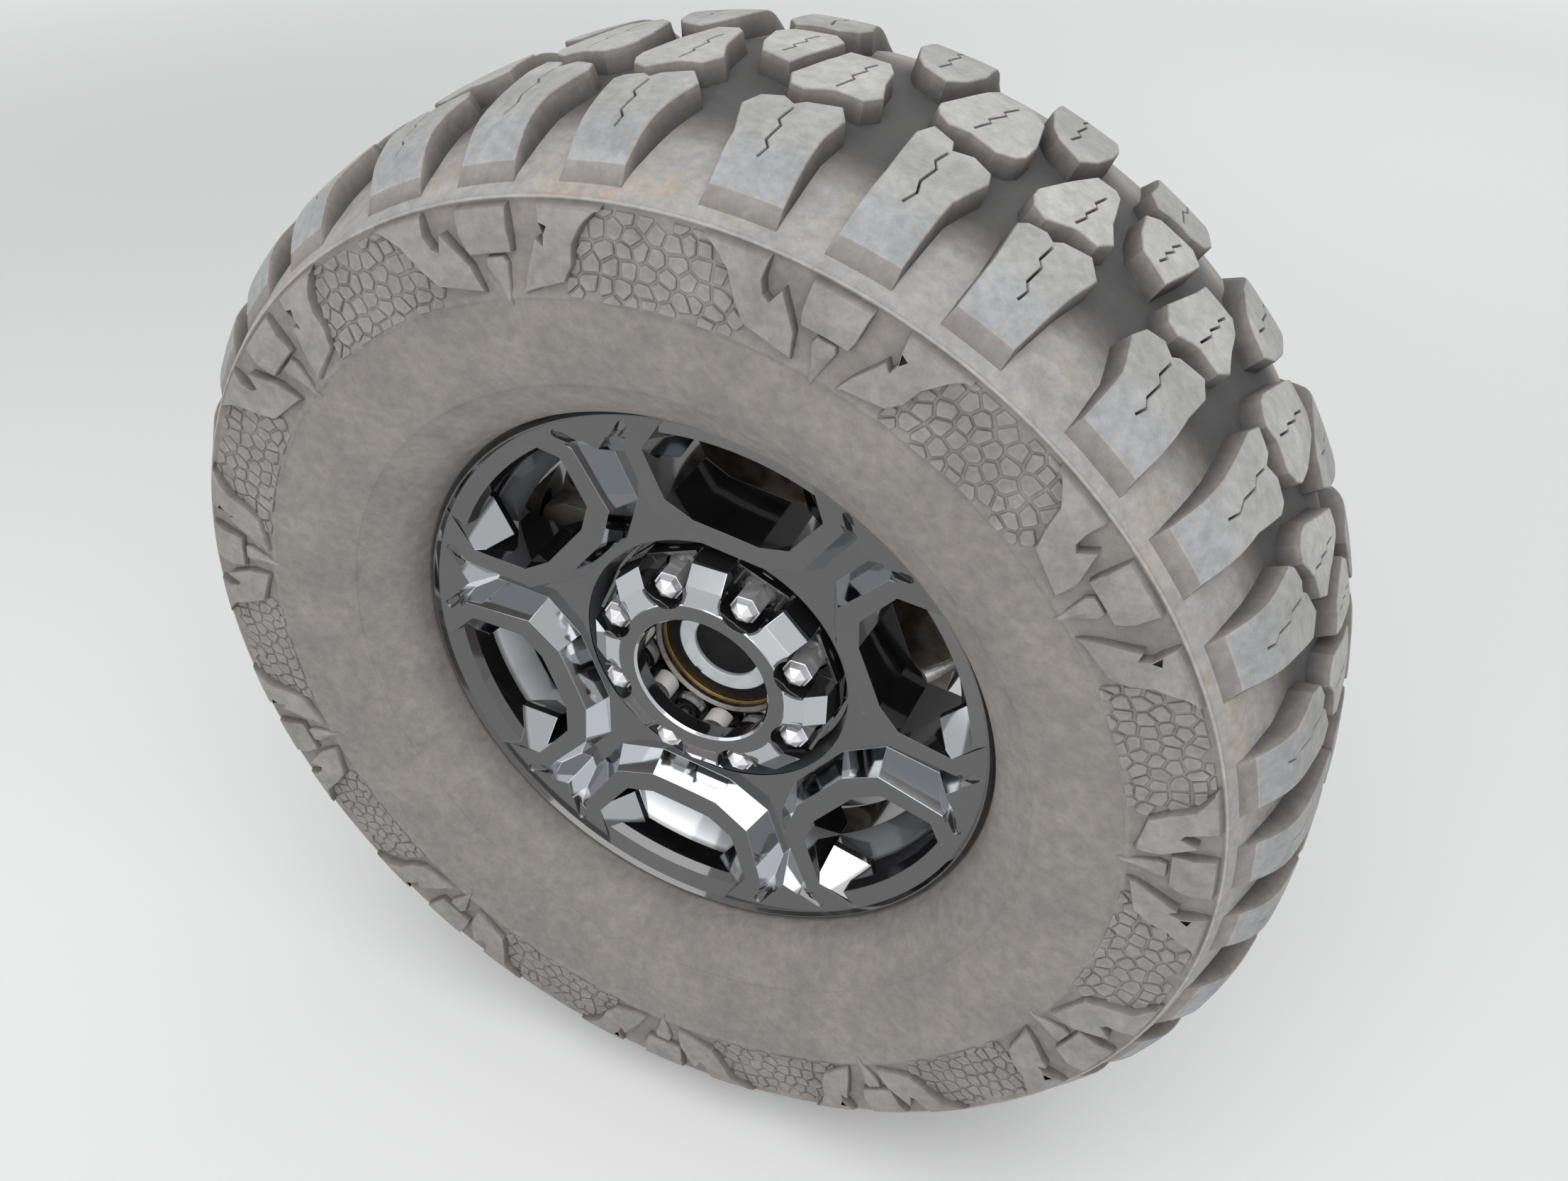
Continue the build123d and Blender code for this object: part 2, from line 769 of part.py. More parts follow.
def around(blank, turn, count):
    return [blank.rotate(Axis.Y, -turn - i * 360.0 / count) for i in range(count)]


with BuildPart() as centre_cap:
    turned(
        [
            (cap_bore_r, cap_y + edge),
            (cap_bore_r + edge, cap_y),
            (cap_ring_r - edge / 2.0, cap_y),
            (cap_ring_r, cap_y + edge / 2.0),
            (cap_ring_r, cap_y + cap_wall),
            (cap_bore_r + cap_wall, cap_y + cap_wall),
            (cap_bore_r + cap_wall, deep(cap_tube_depth)),
            (cap_bore_r, deep(cap_tube_depth)),
        ]
    )
    add(around(finger_body(0.0), finger_turn, stud_count))
    add(around(finger_body(cap_wall), finger_turn, stud_count), mode=Mode.SUBTRACT)
    with BuildSketch(station(cap_back)):
        with PolarLocations(0, stud_count, start_angle=stud_turn):
            with Locations((skirt_r - cap_wall - edge, 0)):
                Rectangle(cap_wall, 2 * finger_r * math.tan(math.radians(90.0 / stud_count)) + 3 * edge)
    extrude(amount=cap_back - skirt_y)
    with BuildSketch(station(cap_y + edge / 4.0)):
        with PolarLocations(0, stud_count, start_angle=stud_turn):
            with Locations((well_r_mid, 0)):
                Circle(nut_pocket_width / 2.0)
            with Locations((well_r_mid + finger_width / 2.0, 0)):
                Rectangle(finger_width, nut_pocket_width)
    extrude(amount=cap_wall + edge, both=True, mode=Mode.SUBTRACT)
    with BuildSketch(station(well_floor_y)):
        with PolarLocations(0, stud_count, start_angle=stud_turn):
            with Locations((well_r_mid, 0)):
                Circle(nut_pocket_width / 2.0 + edge)
                Circle(nut_pocket_width / 2.0, mode=Mode.SUBTRACT)
            with Locations((well_r_mid + finger_width, 0)):
                Rectangle(2 * finger_width, 2 * nut_pocket_width, mode=Mode.SUBTRACT)
    extrude(amount=well_floor_y - cap_y - edge / 2.0)
    with BuildSketch(station(well_floor_y)):
        with PolarLocations(0, stud_count, start_angle=stud_turn):
            Polygon(
                (well_r_mid, nut_pocket_width / 2.0 + edge),
                (finger_end_r - edge, well_end_half),
                (finger_end_r - edge, -well_end_half),
                (well_r_mid, -nut_pocket_width / 2.0 - edge),
                align=None,
            )
            with Locations((well_r_mid, 0)):
                Circle(nut_pocket_width / 2.0 + edge / 2.0)
            with Locations((stud_circle_r, 0)):
                Circle(nut_flange_r - edge / 2.0, mode=Mode.SUBTRACT)
    extrude(amount=edge)
    with BuildSketch(station(cap_back - edge)):
        with PolarLocations(rib_r + cap_wall / 2.0, stud_count, start_angle=finger_turn):
            Rectangle(cap_wall, finger_width - cap_wall)
    extrude(amount=cap_back - edge - deep(cap_tube_depth))
finish(centre_cap, "centre_cap")

# Spring clips that hold the cap on the hub's pilot, one under each finger
clip_mid_r = rib_r - 3 * edge
saddle_r = pilot_r + run_gap
clip_in_r = saddle_r + 1.5 * edge
with BuildSketch() as clip_outline:
    with BuildLine():
        back = Line((rib_r, -clip_half), (rib_r, clip_half))
        ahead = ThreePointArc(back @ 1, (clip_mid_r, clip_half + clip_bulge), (clip_in_r, clip_half))
        saddle = ThreePointArc(ahead @ 1, (saddle_r, 0), (clip_in_r, -clip_half))
        ThreePointArc(saddle @ 1, (clip_mid_r, -clip_half - clip_bulge), back @ 0)
    make_face()
with BuildPart() as cap_clips:
    with BuildSketch(station(pilot_y + edge)):
        with PolarLocations(0, stud_count, start_angle=finger_turn):
            add(clip_outline.sketch)
            add(offset(clip_outline.sketch, -clip_sheet, mode=Mode.PRIVATE), mode=Mode.SUBTRACT)
    extrude(amount=pilot_y + edge - deep(clip_depth))
finish(cap_clips, "cap_clips")

# Bearing unit between hub and knuckle
bearing_y = hub_back_y + bearing_gap
knuckle_face_y = bearing_y + bearing_length
bearing_flange_y = knuckle_face_y - hub_flange_thick
with BuildPart() as bearing_unit:
    turned(
        [
            (journal_r + run_gap, bearing_y),
            (bearing_nose_r, bearing_y),
            (bearing_nose_r + 2 * edge, bearing_y + 2 * edge),
            (bearing_nose_r + 2 * edge, bearing_flange_y),
            (bearing_flange_r - edge, bearing_flange_y),
            (bearing_flange_r, bearing_flange_y + edge),
            (bearing_flange_r, knuckle_face_y),
            (knuckle_bore_r - edge, knuckle_face_y),
            (knuckle_bore_r - edge, knuckle_face_y + 5 * edge),
            (journal_r + run_gap, knuckle_face_y + 5 * edge),
        ]
    )
finish(bearing_unit, "bearing_unit")

# Knuckle: ring for the bearing, two ears on the kingpin line, a caliper pad and a steering arm
shield_y = disc_back + shield_gap
plate_y = shield_y + shield_thick
knuckle_back_y = plate_y + knuckle_flange_thick
upper_ear_top = upper_boss_near - joint_gap
lower_ear_top = -(lower_boss_near + boss_height + joint_gap)
pad_in_x = -(knuckle_bore_r + 5 * edge)
pad_out_x = -(knuckle_flange_r + ear_reach / 2.0)
pad_corners = ((pad_in_x, pad_half), (pad_out_x, pad_half), (pad_out_x, -pad_half), (pad_in_x, -pad_half))
arm_eye_y = kingpin_y + arm_eye_r
with BuildPart() as knuckle:
    turned(
        [
            (knuckle_bore_r, knuckle_face_y),
            (knuckle_r - edge, knuckle_face_y),
            (knuckle_r, knuckle_face_y + edge),
            (knuckle_r, plate_y),
            (knuckle_flange_r, plate_y),
            (knuckle_flange_r, knuckle_back_y - edge),
            (knuckle_flange_r - edge, knuckle_back_y),
            (knuckle_bore_r, knuckle_back_y),
        ]
    )
    with BuildSketch(station(knuckle_back_y)):
        Polygon(*pad_corners, align=None)
        Polygon(
            (-ear_flare, lower_ear_top - ear_thick),
            (ear_flare, lower_ear_top - ear_thick),
            (knuckle_r / math.sqrt(2), -knuckle_r / math.sqrt(2)),
            (-knuckle_r / math.sqrt(2), -knuckle_r / math.sqrt(2)),
            align=None,
        )
    extrude(amount=knuckle_flange_thick)
    for ear_top, rib_way in ((upper_ear_top, -1.0), (lower_ear_top, 1.0)):
        with BuildSketch(Plane.XY.offset(ear_top - ear_thick)):
            with Locations((0, kingpin_y)):
                Circle(ear_reach)
            Polygon(
                (-ear_reach, kingpin_y),
                (ear_reach, kingpin_y),
                (ear_flare, plate_y),
                (-ear_flare, plate_y),
                align=None,
            )
        extrude(amount=ear_thick)
        ear_mid = ear_top - ear_thick / 2.0
        with BuildSketch(Plane.YZ.offset(-rib_thick / 2.0)):
            Polygon(
                (plate_y, ear_mid),
                (kingpin_y - ear_reach / 2.0, ear_mid),
                (knuckle_back_y - edge, ear_mid + rib_way * rib_rise),
                (plate_y, ear_mid + rib_way * rib_rise),
                align=None,
            )
        extrude(amount=rib_thick)
    with BuildSketch(Plane.XY.offset(arm_low)):
        Polygon(
            (knuckle_bore_r + 3 * edge, plate_y),
            (knuckle_flange_r, plate_y),
            (arm_reach + arm_eye_r - edge, kingpin_y + arm_eye_r / 2.0),
            (arm_reach - arm_eye_r + edge, arm_eye_y),
            (knuckle_bore_r + 3 * edge, knuckle_back_y),
            align=None,
        )
        with Locations((arm_reach, arm_eye_y)):
            Circle(arm_eye_r)
            Circle(arm_hole_r, mode=Mode.SUBTRACT)
    extrude(amount=arm_thick)
    with BuildSketch(Plane.XY.offset(arm_low)):
        with Locations((arm_reach, arm_eye_y)):
            Circle(arm_hole_r)
    extrude(amount=arm_thick, mode=Mode.SUBTRACT)
    washer(knuckle_bore_r, 0, knuckle_face_y - edge, knuckle_back_y + edge, Mode.SUBTRACT)
finish(knuckle, "knuckle")

# Ball joints: a boot on the ear, the stud through the yoke's boss, and a nut outside it
for label, ear_top, boss_low in (
    ("upper_ball_joint", upper_ear_top, upper_boss_near),
    ("lower_ball_joint", lower_ear_top, -lower_boss_near - boss_height),
):
    boss_top = boss_low + boss_height
    with BuildPart() as ball_joint:
        post(
            [
                (0, ear_top),
                (boot_r, ear_top),
                (boot_r, ear_top + edge),
                (boot_r - edge, ear_top + 2 * edge),
                (ball_stud_r + edge, boss_low - run_gap),
                (ball_stud_r, boss_low - run_gap),
                (ball_stud_r, boss_top + joint_nut_height),
                (ball_stud_r - edge, boss_top + joint_nut_height + edge),
                (0, boss_top + joint_nut_height + edge),
            ]
        )
        with BuildSketch(Plane.XY.offset(boss_top + run_gap)):
            with Locations((0, kingpin_y)):
                RegularPolygon(joint_nut_r, 6)
        extrude(amount=joint_nut_height)
    finish(ball_joint, label)

# Dust shield behind the disc, pressed from sheet and open round the caliper
shield_r = disc_r + 2 * edge
press_in = disc_inner_r
press_out = disc_r - 4 * edge
shield_front = [
    (knuckle_r, shield_y),
    (press_in, shield_y),
    (press_in + 2 * edge, shield_y - press_rise),
    (press_out - edge, shield_y - press_rise),
    (press_out, shield_y),
    (shield_r - shield_thick, shield_y),
    (shield_r - shield_thick, shield_y - shield_lip),
    (shield_r, shield_y - shield_lip),
]
shield_rear = [
    (shield_r, plate_y),
    (press_out - shield_thick / 2.0, plate_y),
    (press_out - edge - shield_thick / 2.0, plate_y - press_rise),
    (press_in + 2 * edge + shield_thick / 2.0, plate_y - press_rise),
    (press_in + shield_thick / 2.0, plate_y),
    (knuckle_r, plate_y),
]
with BuildPart() as dust_shield:
    turned(shield_front + shield_rear)
    with BuildSketch(station(plate_y + edge)):
        with Locations((-shield_cut_x - disc_r / 2.0, 0)):
            Rectangle(disc_r, 2 * shield_cut_z)
    extrude(amount=disc_thick, mode=Mode.SUBTRACT)
finish(dust_shield, "dust_shield")

# Brake pads: lining and backing plate on each side of the disc
pad_in_r = disc_inner_r + 4 * edge
pad_sets = (
    (disc_y - pad_gap, 1.0, outer_lining, outer_backing),
    (disc_back + pad_gap, -1.0, inner_lining, inner_backing),
)
with BuildPart() as brake_pads:
    for start, way, lining, backing in pad_sets:
        layers = ((start, lining, pad_length), (start - way * lining, backing, pad_length + 2 * edge))
        for begin, thick, length in layers:
            with BuildSketch(station(begin)):
                Circle(disc_r - edge / 2.0)
                Circle(pad_in_r, mode=Mode.SUBTRACT)
                with Locations((-disc_r, 0)):
                    Rectangle(disc_r, length, mode=Mode.INTERSECT)
            extrude(amount=way * thick)
finish(brake_pads, "brake_pads")

# Caliper: bridge over the disc, outboard fingers, back wall, two piston barrels and slide pins
finger_y = disc_y - pad_gap - outer_lining - outer_backing
barrel_y = disc_back + pad_gap + inner_lining + inner_backing
bracket_back = knuckle_back_y + bracket_thick
bridge_back = barrel_y + caliper_plate
piston_x = -(disc_r + pad_in_r) / 2.0
piston_z = caliper_half / 2.0
ears_back = bracket_back + 10 * edge
caliper_outline = (
    (edge - pad_in_r, caliper_half),
    (-bridge_r, caliper_half),
    (-caliper_r, caliper_half - 6 * edge),
    (-caliper_r, 6 * edge - caliper_half),
    (-bridge_r, -caliper_half),
    (edge - pad_in_r, -caliper_half),
)
with BuildPart() as caliper:
    for start, length, inner in (
        (bridge_back, bridge_back - finger_y + caliper_plate, bridge_r),
        (bridge_back, caliper_plate, pad_in_r),
        (finger_y, caliper_plate, pad_in_r),
    ):
        with BuildSketch(station(start)):
            Circle(caliper_r)
            Circle(inner, mode=Mode.SUBTRACT)
            Polygon(*caliper_outline, align=None, mode=Mode.INTERSECT)
        extrude(amount=length)
    with BuildSketch(station(finger_y)):
        with Locations((-pad_in_r, 0)):
            SlotOverall(2 * piston_r, piston_r)
    extrude(amount=caliper_plate, mode=Mode.SUBTRACT)
    with BuildSketch(station(disc_back)):
        with Locations((-caliper_r, 0)):
            Rectangle(disc_r / 2.0, caliper_half / 2.0)
    extrude(amount=disc_thick, mode=Mode.SUBTRACT)
    with BuildSketch(station(barrel_y + barrel_length)):
        with Locations((piston_x, piston_z), (piston_x, -piston_z)):
            Circle(piston_r)
    extrude(amount=barrel_length)
    with BuildSketch(station(ears_back)):
        with Locations((slide_x, 0)):
            SlotOverall(2 * slide_z + 4 * slide_r, 3 * slide_r, rotation=90.0)
    extrude(amount=5 * edge)
    with BuildSketch(station(ears_back)):
        with Locations((slide_x, slide_z), (slide_x, -slide_z)):
            Circle(slide_r)
    extrude(amount=ears_back - knuckle_back_y)
finish(caliper, "caliper")

# Caliper bracket: plate on the knuckle's pad, an arm to each slide pin and a block over the disc's edge
block_z = caliper_half + 3 * edge
with BuildPart() as caliper_bracket:
    with BuildSketch(station(bracket_back)):
        Polygon(*pad_corners, align=None)
        for way in (-1.0, 1.0):
            Polygon(
                (pad_in_x, way * pad_half / 2.0),
                (pad_in_x, way * pad_half),
                (slide_x + 2 * slide_r, way * (slide_z + 2 * slide_r)),
                (slide_x - slide_r, way * (slide_z + 2 * slide_r)),
                (slide_x - 2 * slide_r, way * block_z),
                (pad_out_x, way * (caliper_half + edge)),
                align=None,
            )
        with Locations((slide_x, slide_z), (slide_x, -slide_z)):
            Circle(slide_r + run_gap, mode=Mode.SUBTRACT)
    extrude(amount=bracket_thick)
    with BuildSketch(station(knuckle_back_y + edge)):
        for way in (-1.0, 1.0):
            Polygon(
                (slide_x + slide_r + edge, way * (slide_z + slide_r)),
                (slide_x - slide_r, way * (slide_z + 2 * slide_r)),
                (slide_x - 2 * slide_r, way * block_z),
                (slide_x + 2 * edge, way * block_z),
                align=None,
            )
        with Locations((slide_x, slide_z), (slide_x, -slide_z)):
            Circle(slide_r + run_gap, mode=Mode.SUBTRACT)
    extrude(amount=knuckle_back_y + edge - finger_y)
finish(caliper_bracket, "caliper_bracket")

# Shafts and the joint between them. way is +1 on the axle's side of the joint, -1 on the wheel's
stub_end_y = disc_face_y - 2 * edge
joint_sides = (
    ("axle_shaft", 1.0, (1, 0, 0), cross_r, shaft_overhang),
    ("stub_shaft", -1.0, (0, 0, 1), cross_r + run_gap, stub_end_y),
)
for label, way, pin_line, hole_r, end_y in joint_sides:
    ears = Plane(origin=(0, kingpin_y, 0), x_dir=(0, 1, 0), z_dir=pin_line)
    base_y = kingpin_y + way * fork_gap
    with BuildPart() as shaft:
        washer(fork_r, 0, min(base_y, base_y + way * fork_plate), max(base_y, base_y + way * fork_plate))
        with BuildSketch(station(base_y)):
            Circle(shaft_r - shaft_neck)
        extrude(amount=-way * abs(end_y - base_y))
        if way > 0:
            washer(shaft_r, 0, 0, shaft_overhang)
        for start in (ear_in, -ear_out):
            with BuildSketch(ears.offset(start)):
                Circle(fork_ear_r)
                with Locations((way * (fork_gap + edge) / 2.0, 0)):
                    Rectangle(fork_gap + edge, 2 * fork_ear_r)
            extrude(amount=ear_out - ear_in)
        with BuildSketch(ears.offset(-ear_out)):
            Circle(hole_r)
        extrude(amount=2 * ear_out, mode=Mode.SUBTRACT)
    finish(shaft, label)

with BuildPart() as joint_cross:
    for pin_line in ((1, 0, 0), (0, 0, 1)):
        for radius, reach in ((cross_r, ear_out), (cross_body_r, cross_body_r)):
            with BuildSketch(Plane(origin=(0, kingpin_y, 0), x_dir=(0, 1, 0), z_dir=pin_line)):
                Circle(radius)
            extrude(amount=reach, both=True)
finish(joint_cross, "joint_cross")

# Axle tube and the forged yoke welded on its end
neck_y = -tube_length - neck_length
with BuildPart() as axle_tube:
    washer(tube_r, tube_r - tube_wall, -tube_length, 0)
    washer(tube_r - tube_wall + edge / 2.0, shaft_r - shaft_neck + run_gap, 2 * seal_y, seal_y)
finish(axle_tube, "axle_tube")

arm_in = kingpin_y + ear_reach + joint_gap
arm_out = -tube_length - edge
with BuildPart() as inner_yoke:
    washer(neck_r, neck_bore_r, neck_y, -tube_length)
    for boss_low in (upper_boss_near, -lower_boss_near - boss_height):
        with BuildSketch(Plane.XY.offset(boss_low)):
            with Locations((0, kingpin_y)):
                Circle(boss_r)
        extrude(amount=boss_height)
    for way, boss_near in ((1.0, upper_boss_near), (-1.0, lower_boss_near)):
        boss_out = way * (boss_near + boss_height)
        with BuildSketch(Plane.YZ.offset(-yoke_arm_width / 2.0)):
            Polygon(
                (arm_out, way * (neck_r - edge)),
                (arm_in + 6 * edge, boss_out),
                (kingpin_y, boss_out),
                (kingpin_y, way * boss_near),
                (arm_in, way * boss_near),
                (arm_in + edge, way * yoke_clear),
                (neck_y, way * (neck_bore_r + 5 * edge)),
                (arm_out, way * (neck_bore_r + 2 * edge)),
                align=None,
            )
        extrude(amount=yoke_arm_width)
    with BuildSketch(Plane.XY.offset(-2 * neck_r - boss_height)):
        with Locations((0, kingpin_y)):
            Circle(ball_stud_r + run_gap)
    extrude(amount=4 * neck_r + 2 * boss_height, mode=Mode.SUBTRACT)
finish(inner_yoke, "inner_yoke")
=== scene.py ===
import bpy
import math
import numpy as np
from mathutils import Matrix, Vector
from mathutils.geometry import delaunay_2d_cdt


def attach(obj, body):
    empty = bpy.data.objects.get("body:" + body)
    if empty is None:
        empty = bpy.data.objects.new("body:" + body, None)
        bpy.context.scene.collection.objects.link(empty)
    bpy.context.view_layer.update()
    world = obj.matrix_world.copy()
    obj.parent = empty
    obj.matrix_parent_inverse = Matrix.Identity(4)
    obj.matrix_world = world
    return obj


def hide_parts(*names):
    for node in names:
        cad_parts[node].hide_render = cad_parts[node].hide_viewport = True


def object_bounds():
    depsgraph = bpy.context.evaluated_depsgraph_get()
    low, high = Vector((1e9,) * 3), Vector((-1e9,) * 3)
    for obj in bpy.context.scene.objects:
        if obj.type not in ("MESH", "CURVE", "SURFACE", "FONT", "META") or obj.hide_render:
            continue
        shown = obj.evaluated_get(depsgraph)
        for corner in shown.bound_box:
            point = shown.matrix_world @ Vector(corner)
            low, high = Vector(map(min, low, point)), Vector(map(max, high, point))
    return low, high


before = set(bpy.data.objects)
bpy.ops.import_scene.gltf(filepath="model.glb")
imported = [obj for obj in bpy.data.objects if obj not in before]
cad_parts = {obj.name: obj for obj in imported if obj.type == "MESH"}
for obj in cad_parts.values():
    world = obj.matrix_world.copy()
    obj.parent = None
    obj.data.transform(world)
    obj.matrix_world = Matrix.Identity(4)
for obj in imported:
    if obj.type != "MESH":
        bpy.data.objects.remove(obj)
cadBox = [list(corner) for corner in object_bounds()]
mm = 0.001
print("frame loaded")

# Camera at the photograph's viewing angle
cameraValues = {
    "place": (412.15, -1208.97, 789.61),  # millimetres
    "azimuth": 23.22,
    "elevation": 37.81,
    "roll": -1.92,
    "focalPixels": 2115.7,
    "imageWidth": 2212,
    "sensor": 36.0,
}


def placeCamera(values):
    azimuth, elevation, roll = (math.radians(values[k]) for k in ("azimuth", "elevation", "roll"))
    level = math.cos(elevation)
    back = Vector((math.sin(azimuth) * level, -math.cos(azimuth) * level, math.sin(elevation)))
    right = Vector((math.cos(azimuth), math.sin(azimuth), 0))
    up = back.cross(right)
    turnedRight = right * math.cos(roll) - up * math.sin(roll)
    turnedUp = right * math.sin(roll) + up * math.cos(roll)
    lens = bpy.data.cameras.new("photoCamera")
    lens.sensor_fit = "HORIZONTAL"
    lens.sensor_width = values["sensor"]
    lens.lens = values["focalPixels"] / values["imageWidth"] * values["sensor"]
    lens.clip_start = 0.05
    camera = bpy.data.objects.new("photoCamera", lens)
    bpy.context.scene.collection.objects.link(camera)
    camera.matrix_world = Matrix((turnedRight, turnedUp, back)).transposed().to_4x4()
    camera.location = Vector(values["place"]) * mm
    bpy.context.scene.camera = camera


placeCamera(cameraValues)

# Plain studio: pale floor that fades into the backdrop, even world light and four soft boxes
studioValues = {
    "backdropColour": (0.9, 0.905, 0.91),
    "floorColour": (0.83, 0.835, 0.84),
    "floorRoughness": 0.75,
    "floorShine": 0.2,
    "floorGap": 0.001,  # metres under the tyre
    "floorReach": 9.0,
    "floorFade": (1.5, 5.0),  # metres over which the floor passes into the backdrop
    "worldLevel": 0.36,
    "boxes": {  # name: place and size in metres, power in watts
        "topLight": ((0.7, -1.7, 2.6), 3.5, 74.0),
        "frontLight": ((0.15, -3.0, 0.95), 2.2, 26.0),
        "leftLight": ((-2.4, -1.2, 1.2), 2.0, 10.0),
        "backLight": ((0.4, 2.6, 1.6), 2.4, 24.0),
    },
}


def addSoftBox(name, place, size, power):
    lamp = bpy.data.lights.new(name, "AREA")
    lamp.shape = "SQUARE"
    lamp.size = size
    lamp.energy = power
    box = bpy.data.objects.new(name, lamp)
    bpy.context.scene.collection.objects.link(box)
    box.location = place
    box.rotation_euler = (-Vector(place)).to_track_quat("-Z", "Y").to_euler()


def makeFloor(values):
    level = cadBox[0][2] - values["floorGap"]
    reach = values["floorReach"]
    corners = [(x * reach, y * reach, level) for x, y in ((-1, -1), (1, -1), (1, 1), (-1, 1))]
    mesh = bpy.data.meshes.new("studioFloor")
    mesh.from_pydata(corners, [], [(0, 1, 2, 3)])
    floor = bpy.data.objects.new("studioFloor", mesh)
    bpy.context.scene.collection.objects.link(floor)
    material = bpy.data.materials.new("studioFloor")
    material.use_nodes = True
    shader = material.node_tree.nodes["Principled BSDF"]
    shader.inputs["Base Color"].default_value = (*values["floorColour"], 1)
    shader.inputs["Roughness"].default_value = values["floorRoughness"]
    shader.inputs["Specular IOR Level"].default_value = values["floorShine"]
    nodes, links = material.node_tree.nodes, material.node_tree.links
    distance = nodes.new("ShaderNodeVectorMath")
    distance.operation = "LENGTH"
    fade = nodes.new("ShaderNodeMapRange")
    fade.interpolation_type = "SMOOTHSTEP"
    fade.inputs["From Min"].default_value, fade.inputs["From Max"].default_value = values["floorFade"]
    glow = nodes.new("ShaderNodeEmission")
    glow.inputs["Color"].default_value = (*values["backdropColour"], 1)
    mix = nodes.new("ShaderNodeMixShader")
    links.new(nodes.new("ShaderNodeTexCoord").outputs["Object"], distance.inputs[0])
    links.new(distance.outputs["Value"], fade.inputs["Value"])
    links.new(fade.outputs["Result"], mix.inputs[0])
    links.new(shader.outputs[0], mix.inputs[1])
    links.new(glow.outputs[0], mix.inputs[2])
    links.new(mix.outputs[0], nodes["Material Output"].inputs["Surface"])
    mesh.materials.append(material)


def makeWorld(values):
    world = bpy.data.worlds.new("studioWorld")
    world.use_nodes = True
    nodes, links = world.node_tree.nodes, world.node_tree.links
    light = nodes["Background"]
    light.inputs["Color"].default_value = (1, 1, 1, 1)
    light.inputs["Strength"].default_value = values["worldLevel"]
    backdrop = nodes.new("ShaderNodeBackground")
    backdrop.inputs["Color"].default_value = (*values["backdropColour"], 1)
    rays = nodes.new("ShaderNodeLightPath")
    seen = nodes.new("ShaderNodeMath")
    seen.operation = "MAXIMUM"
    mix = nodes.new("ShaderNodeMixShader")
    links.new(rays.outputs["Is Camera Ray"], seen.inputs[0])
    links.new(rays.outputs["Is Glossy Ray"], seen.inputs[1])
    links.new(seen.outputs[0], mix.inputs[0])
    links.new(light.outputs[0], mix.inputs[1])
    links.new(backdrop.outputs[0], mix.inputs[2])
    links.new(mix.outputs[0], nodes["World Output"].inputs["Surface"])
    bpy.context.scene.world = world


makeFloor(studioValues)
makeWorld(studioValues)
for boxName, (boxPlace, boxSize, boxPower) in studioValues["boxes"].items():
    addSoftBox(boxName, boxPlace, boxSize, boxPower)
bpy.context.scene.view_settings.view_transform = "Standard"
print("studio ready")


# Helpers for procedural finishes
def startFinish(name, values):
    material = bpy.data.materials.new(name)
    material.use_nodes = True
    tree = material.node_tree
    shader = tree.nodes["Principled BSDF"]
    shader.inputs["Metallic"].default_value = values.get("metallic", 0.0)
    shader.inputs["Coat Weight"].default_value = values.get("coat", 0.0)
    shader.inputs["Coat Roughness"].default_value = values.get("coatRoughness", 0.03)
    shader.inputs["IOR"].default_value = values.get("ior", 1.5)
    where = tree.nodes.new("ShaderNodeTexCoord").outputs["Object"]
    return material, tree, shader, where


def addNoise(tree, where, size, detail, roughness):  # size in millimetres
    noise = tree.nodes.new("ShaderNodeTexNoise")
    noise.inputs["Scale"].default_value = 1.0 / (size * mm)
    noise.inputs["Detail"].default_value = detail
    noise.inputs["Roughness"].default_value = roughness
    tree.links.new(where, noise.inputs["Vector"])
    return noise.outputs["Fac"]


def addRamp(tree, source, stops):  # stops are (place, grey level or colour)
    ramp = tree.nodes.new("ShaderNodeValToRGB")
    elements = ramp.color_ramp.elements
    while len(elements) < len(stops):
        elements.new(0.5)
    for element, (place, colour) in zip(elements, stops):
        element.position = place
        element.color = (*colour, 1) if hasattr(colour, "__len__") else (colour, colour, colour, 1)
    tree.links.new(source, ramp.inputs["Fac"])
    return ramp.outputs["Color"]


def addMix(tree, share, first, second, way="MIX"):
    mix = tree.nodes.new("ShaderNodeMix")
    mix.data_type = "RGBA"
    mix.blend_type = way
    for value, slot in ((share, 0), (first, 6), (second, 7)):
        if isinstance(value, (float, int)):
            mix.inputs[slot].default_value = value
        elif isinstance(value, tuple):
            mix.inputs[slot].default_value = (*value, 1)
        else:
            tree.links.new(value, mix.inputs[slot])
    return mix.outputs[2]


def addMaths(tree, way, first, second=0.0):
    node = tree.nodes.new("ShaderNodeMath")
    node.operation = way
    for value, slot in ((first, 0), (second, 1)):
        if isinstance(value, (float, int)):
            node.inputs[slot].default_value = value
        else:
            tree.links.new(value, node.inputs[slot])
    return node.outputs[0]


def addSlope(tree, high, low, steepness):  # (high - low) * steepness, kept between 0 and 1
    slope = addMaths(tree, "MULTIPLY", addMaths(tree, "SUBTRACT", high, low), steepness)
    slope.node.use_clamp = True
    return slope


def addBump(tree, heights, depth, shader=None, after=None):
    bump = tree.nodes.new("ShaderNodeBump")
    bump.inputs["Distance"].default_value = depth * mm
    tree.links.new(heights, bump.inputs["Height"])
    if after is not None:
        tree.links.new(after, bump.inputs["Normal"])
    if shader is not None:
        tree.links.new(bump.outputs["Normal"], shader.inputs["Normal"])
    return bump.outputs["Normal"]


def softenEdges(tree, radius):
    bevel = tree.nodes.new("ShaderNodeBevel")
    bevel.samples = 6
    bevel.inputs["Radius"].default_value = radius * mm
    return bevel.outputs["Normal"]


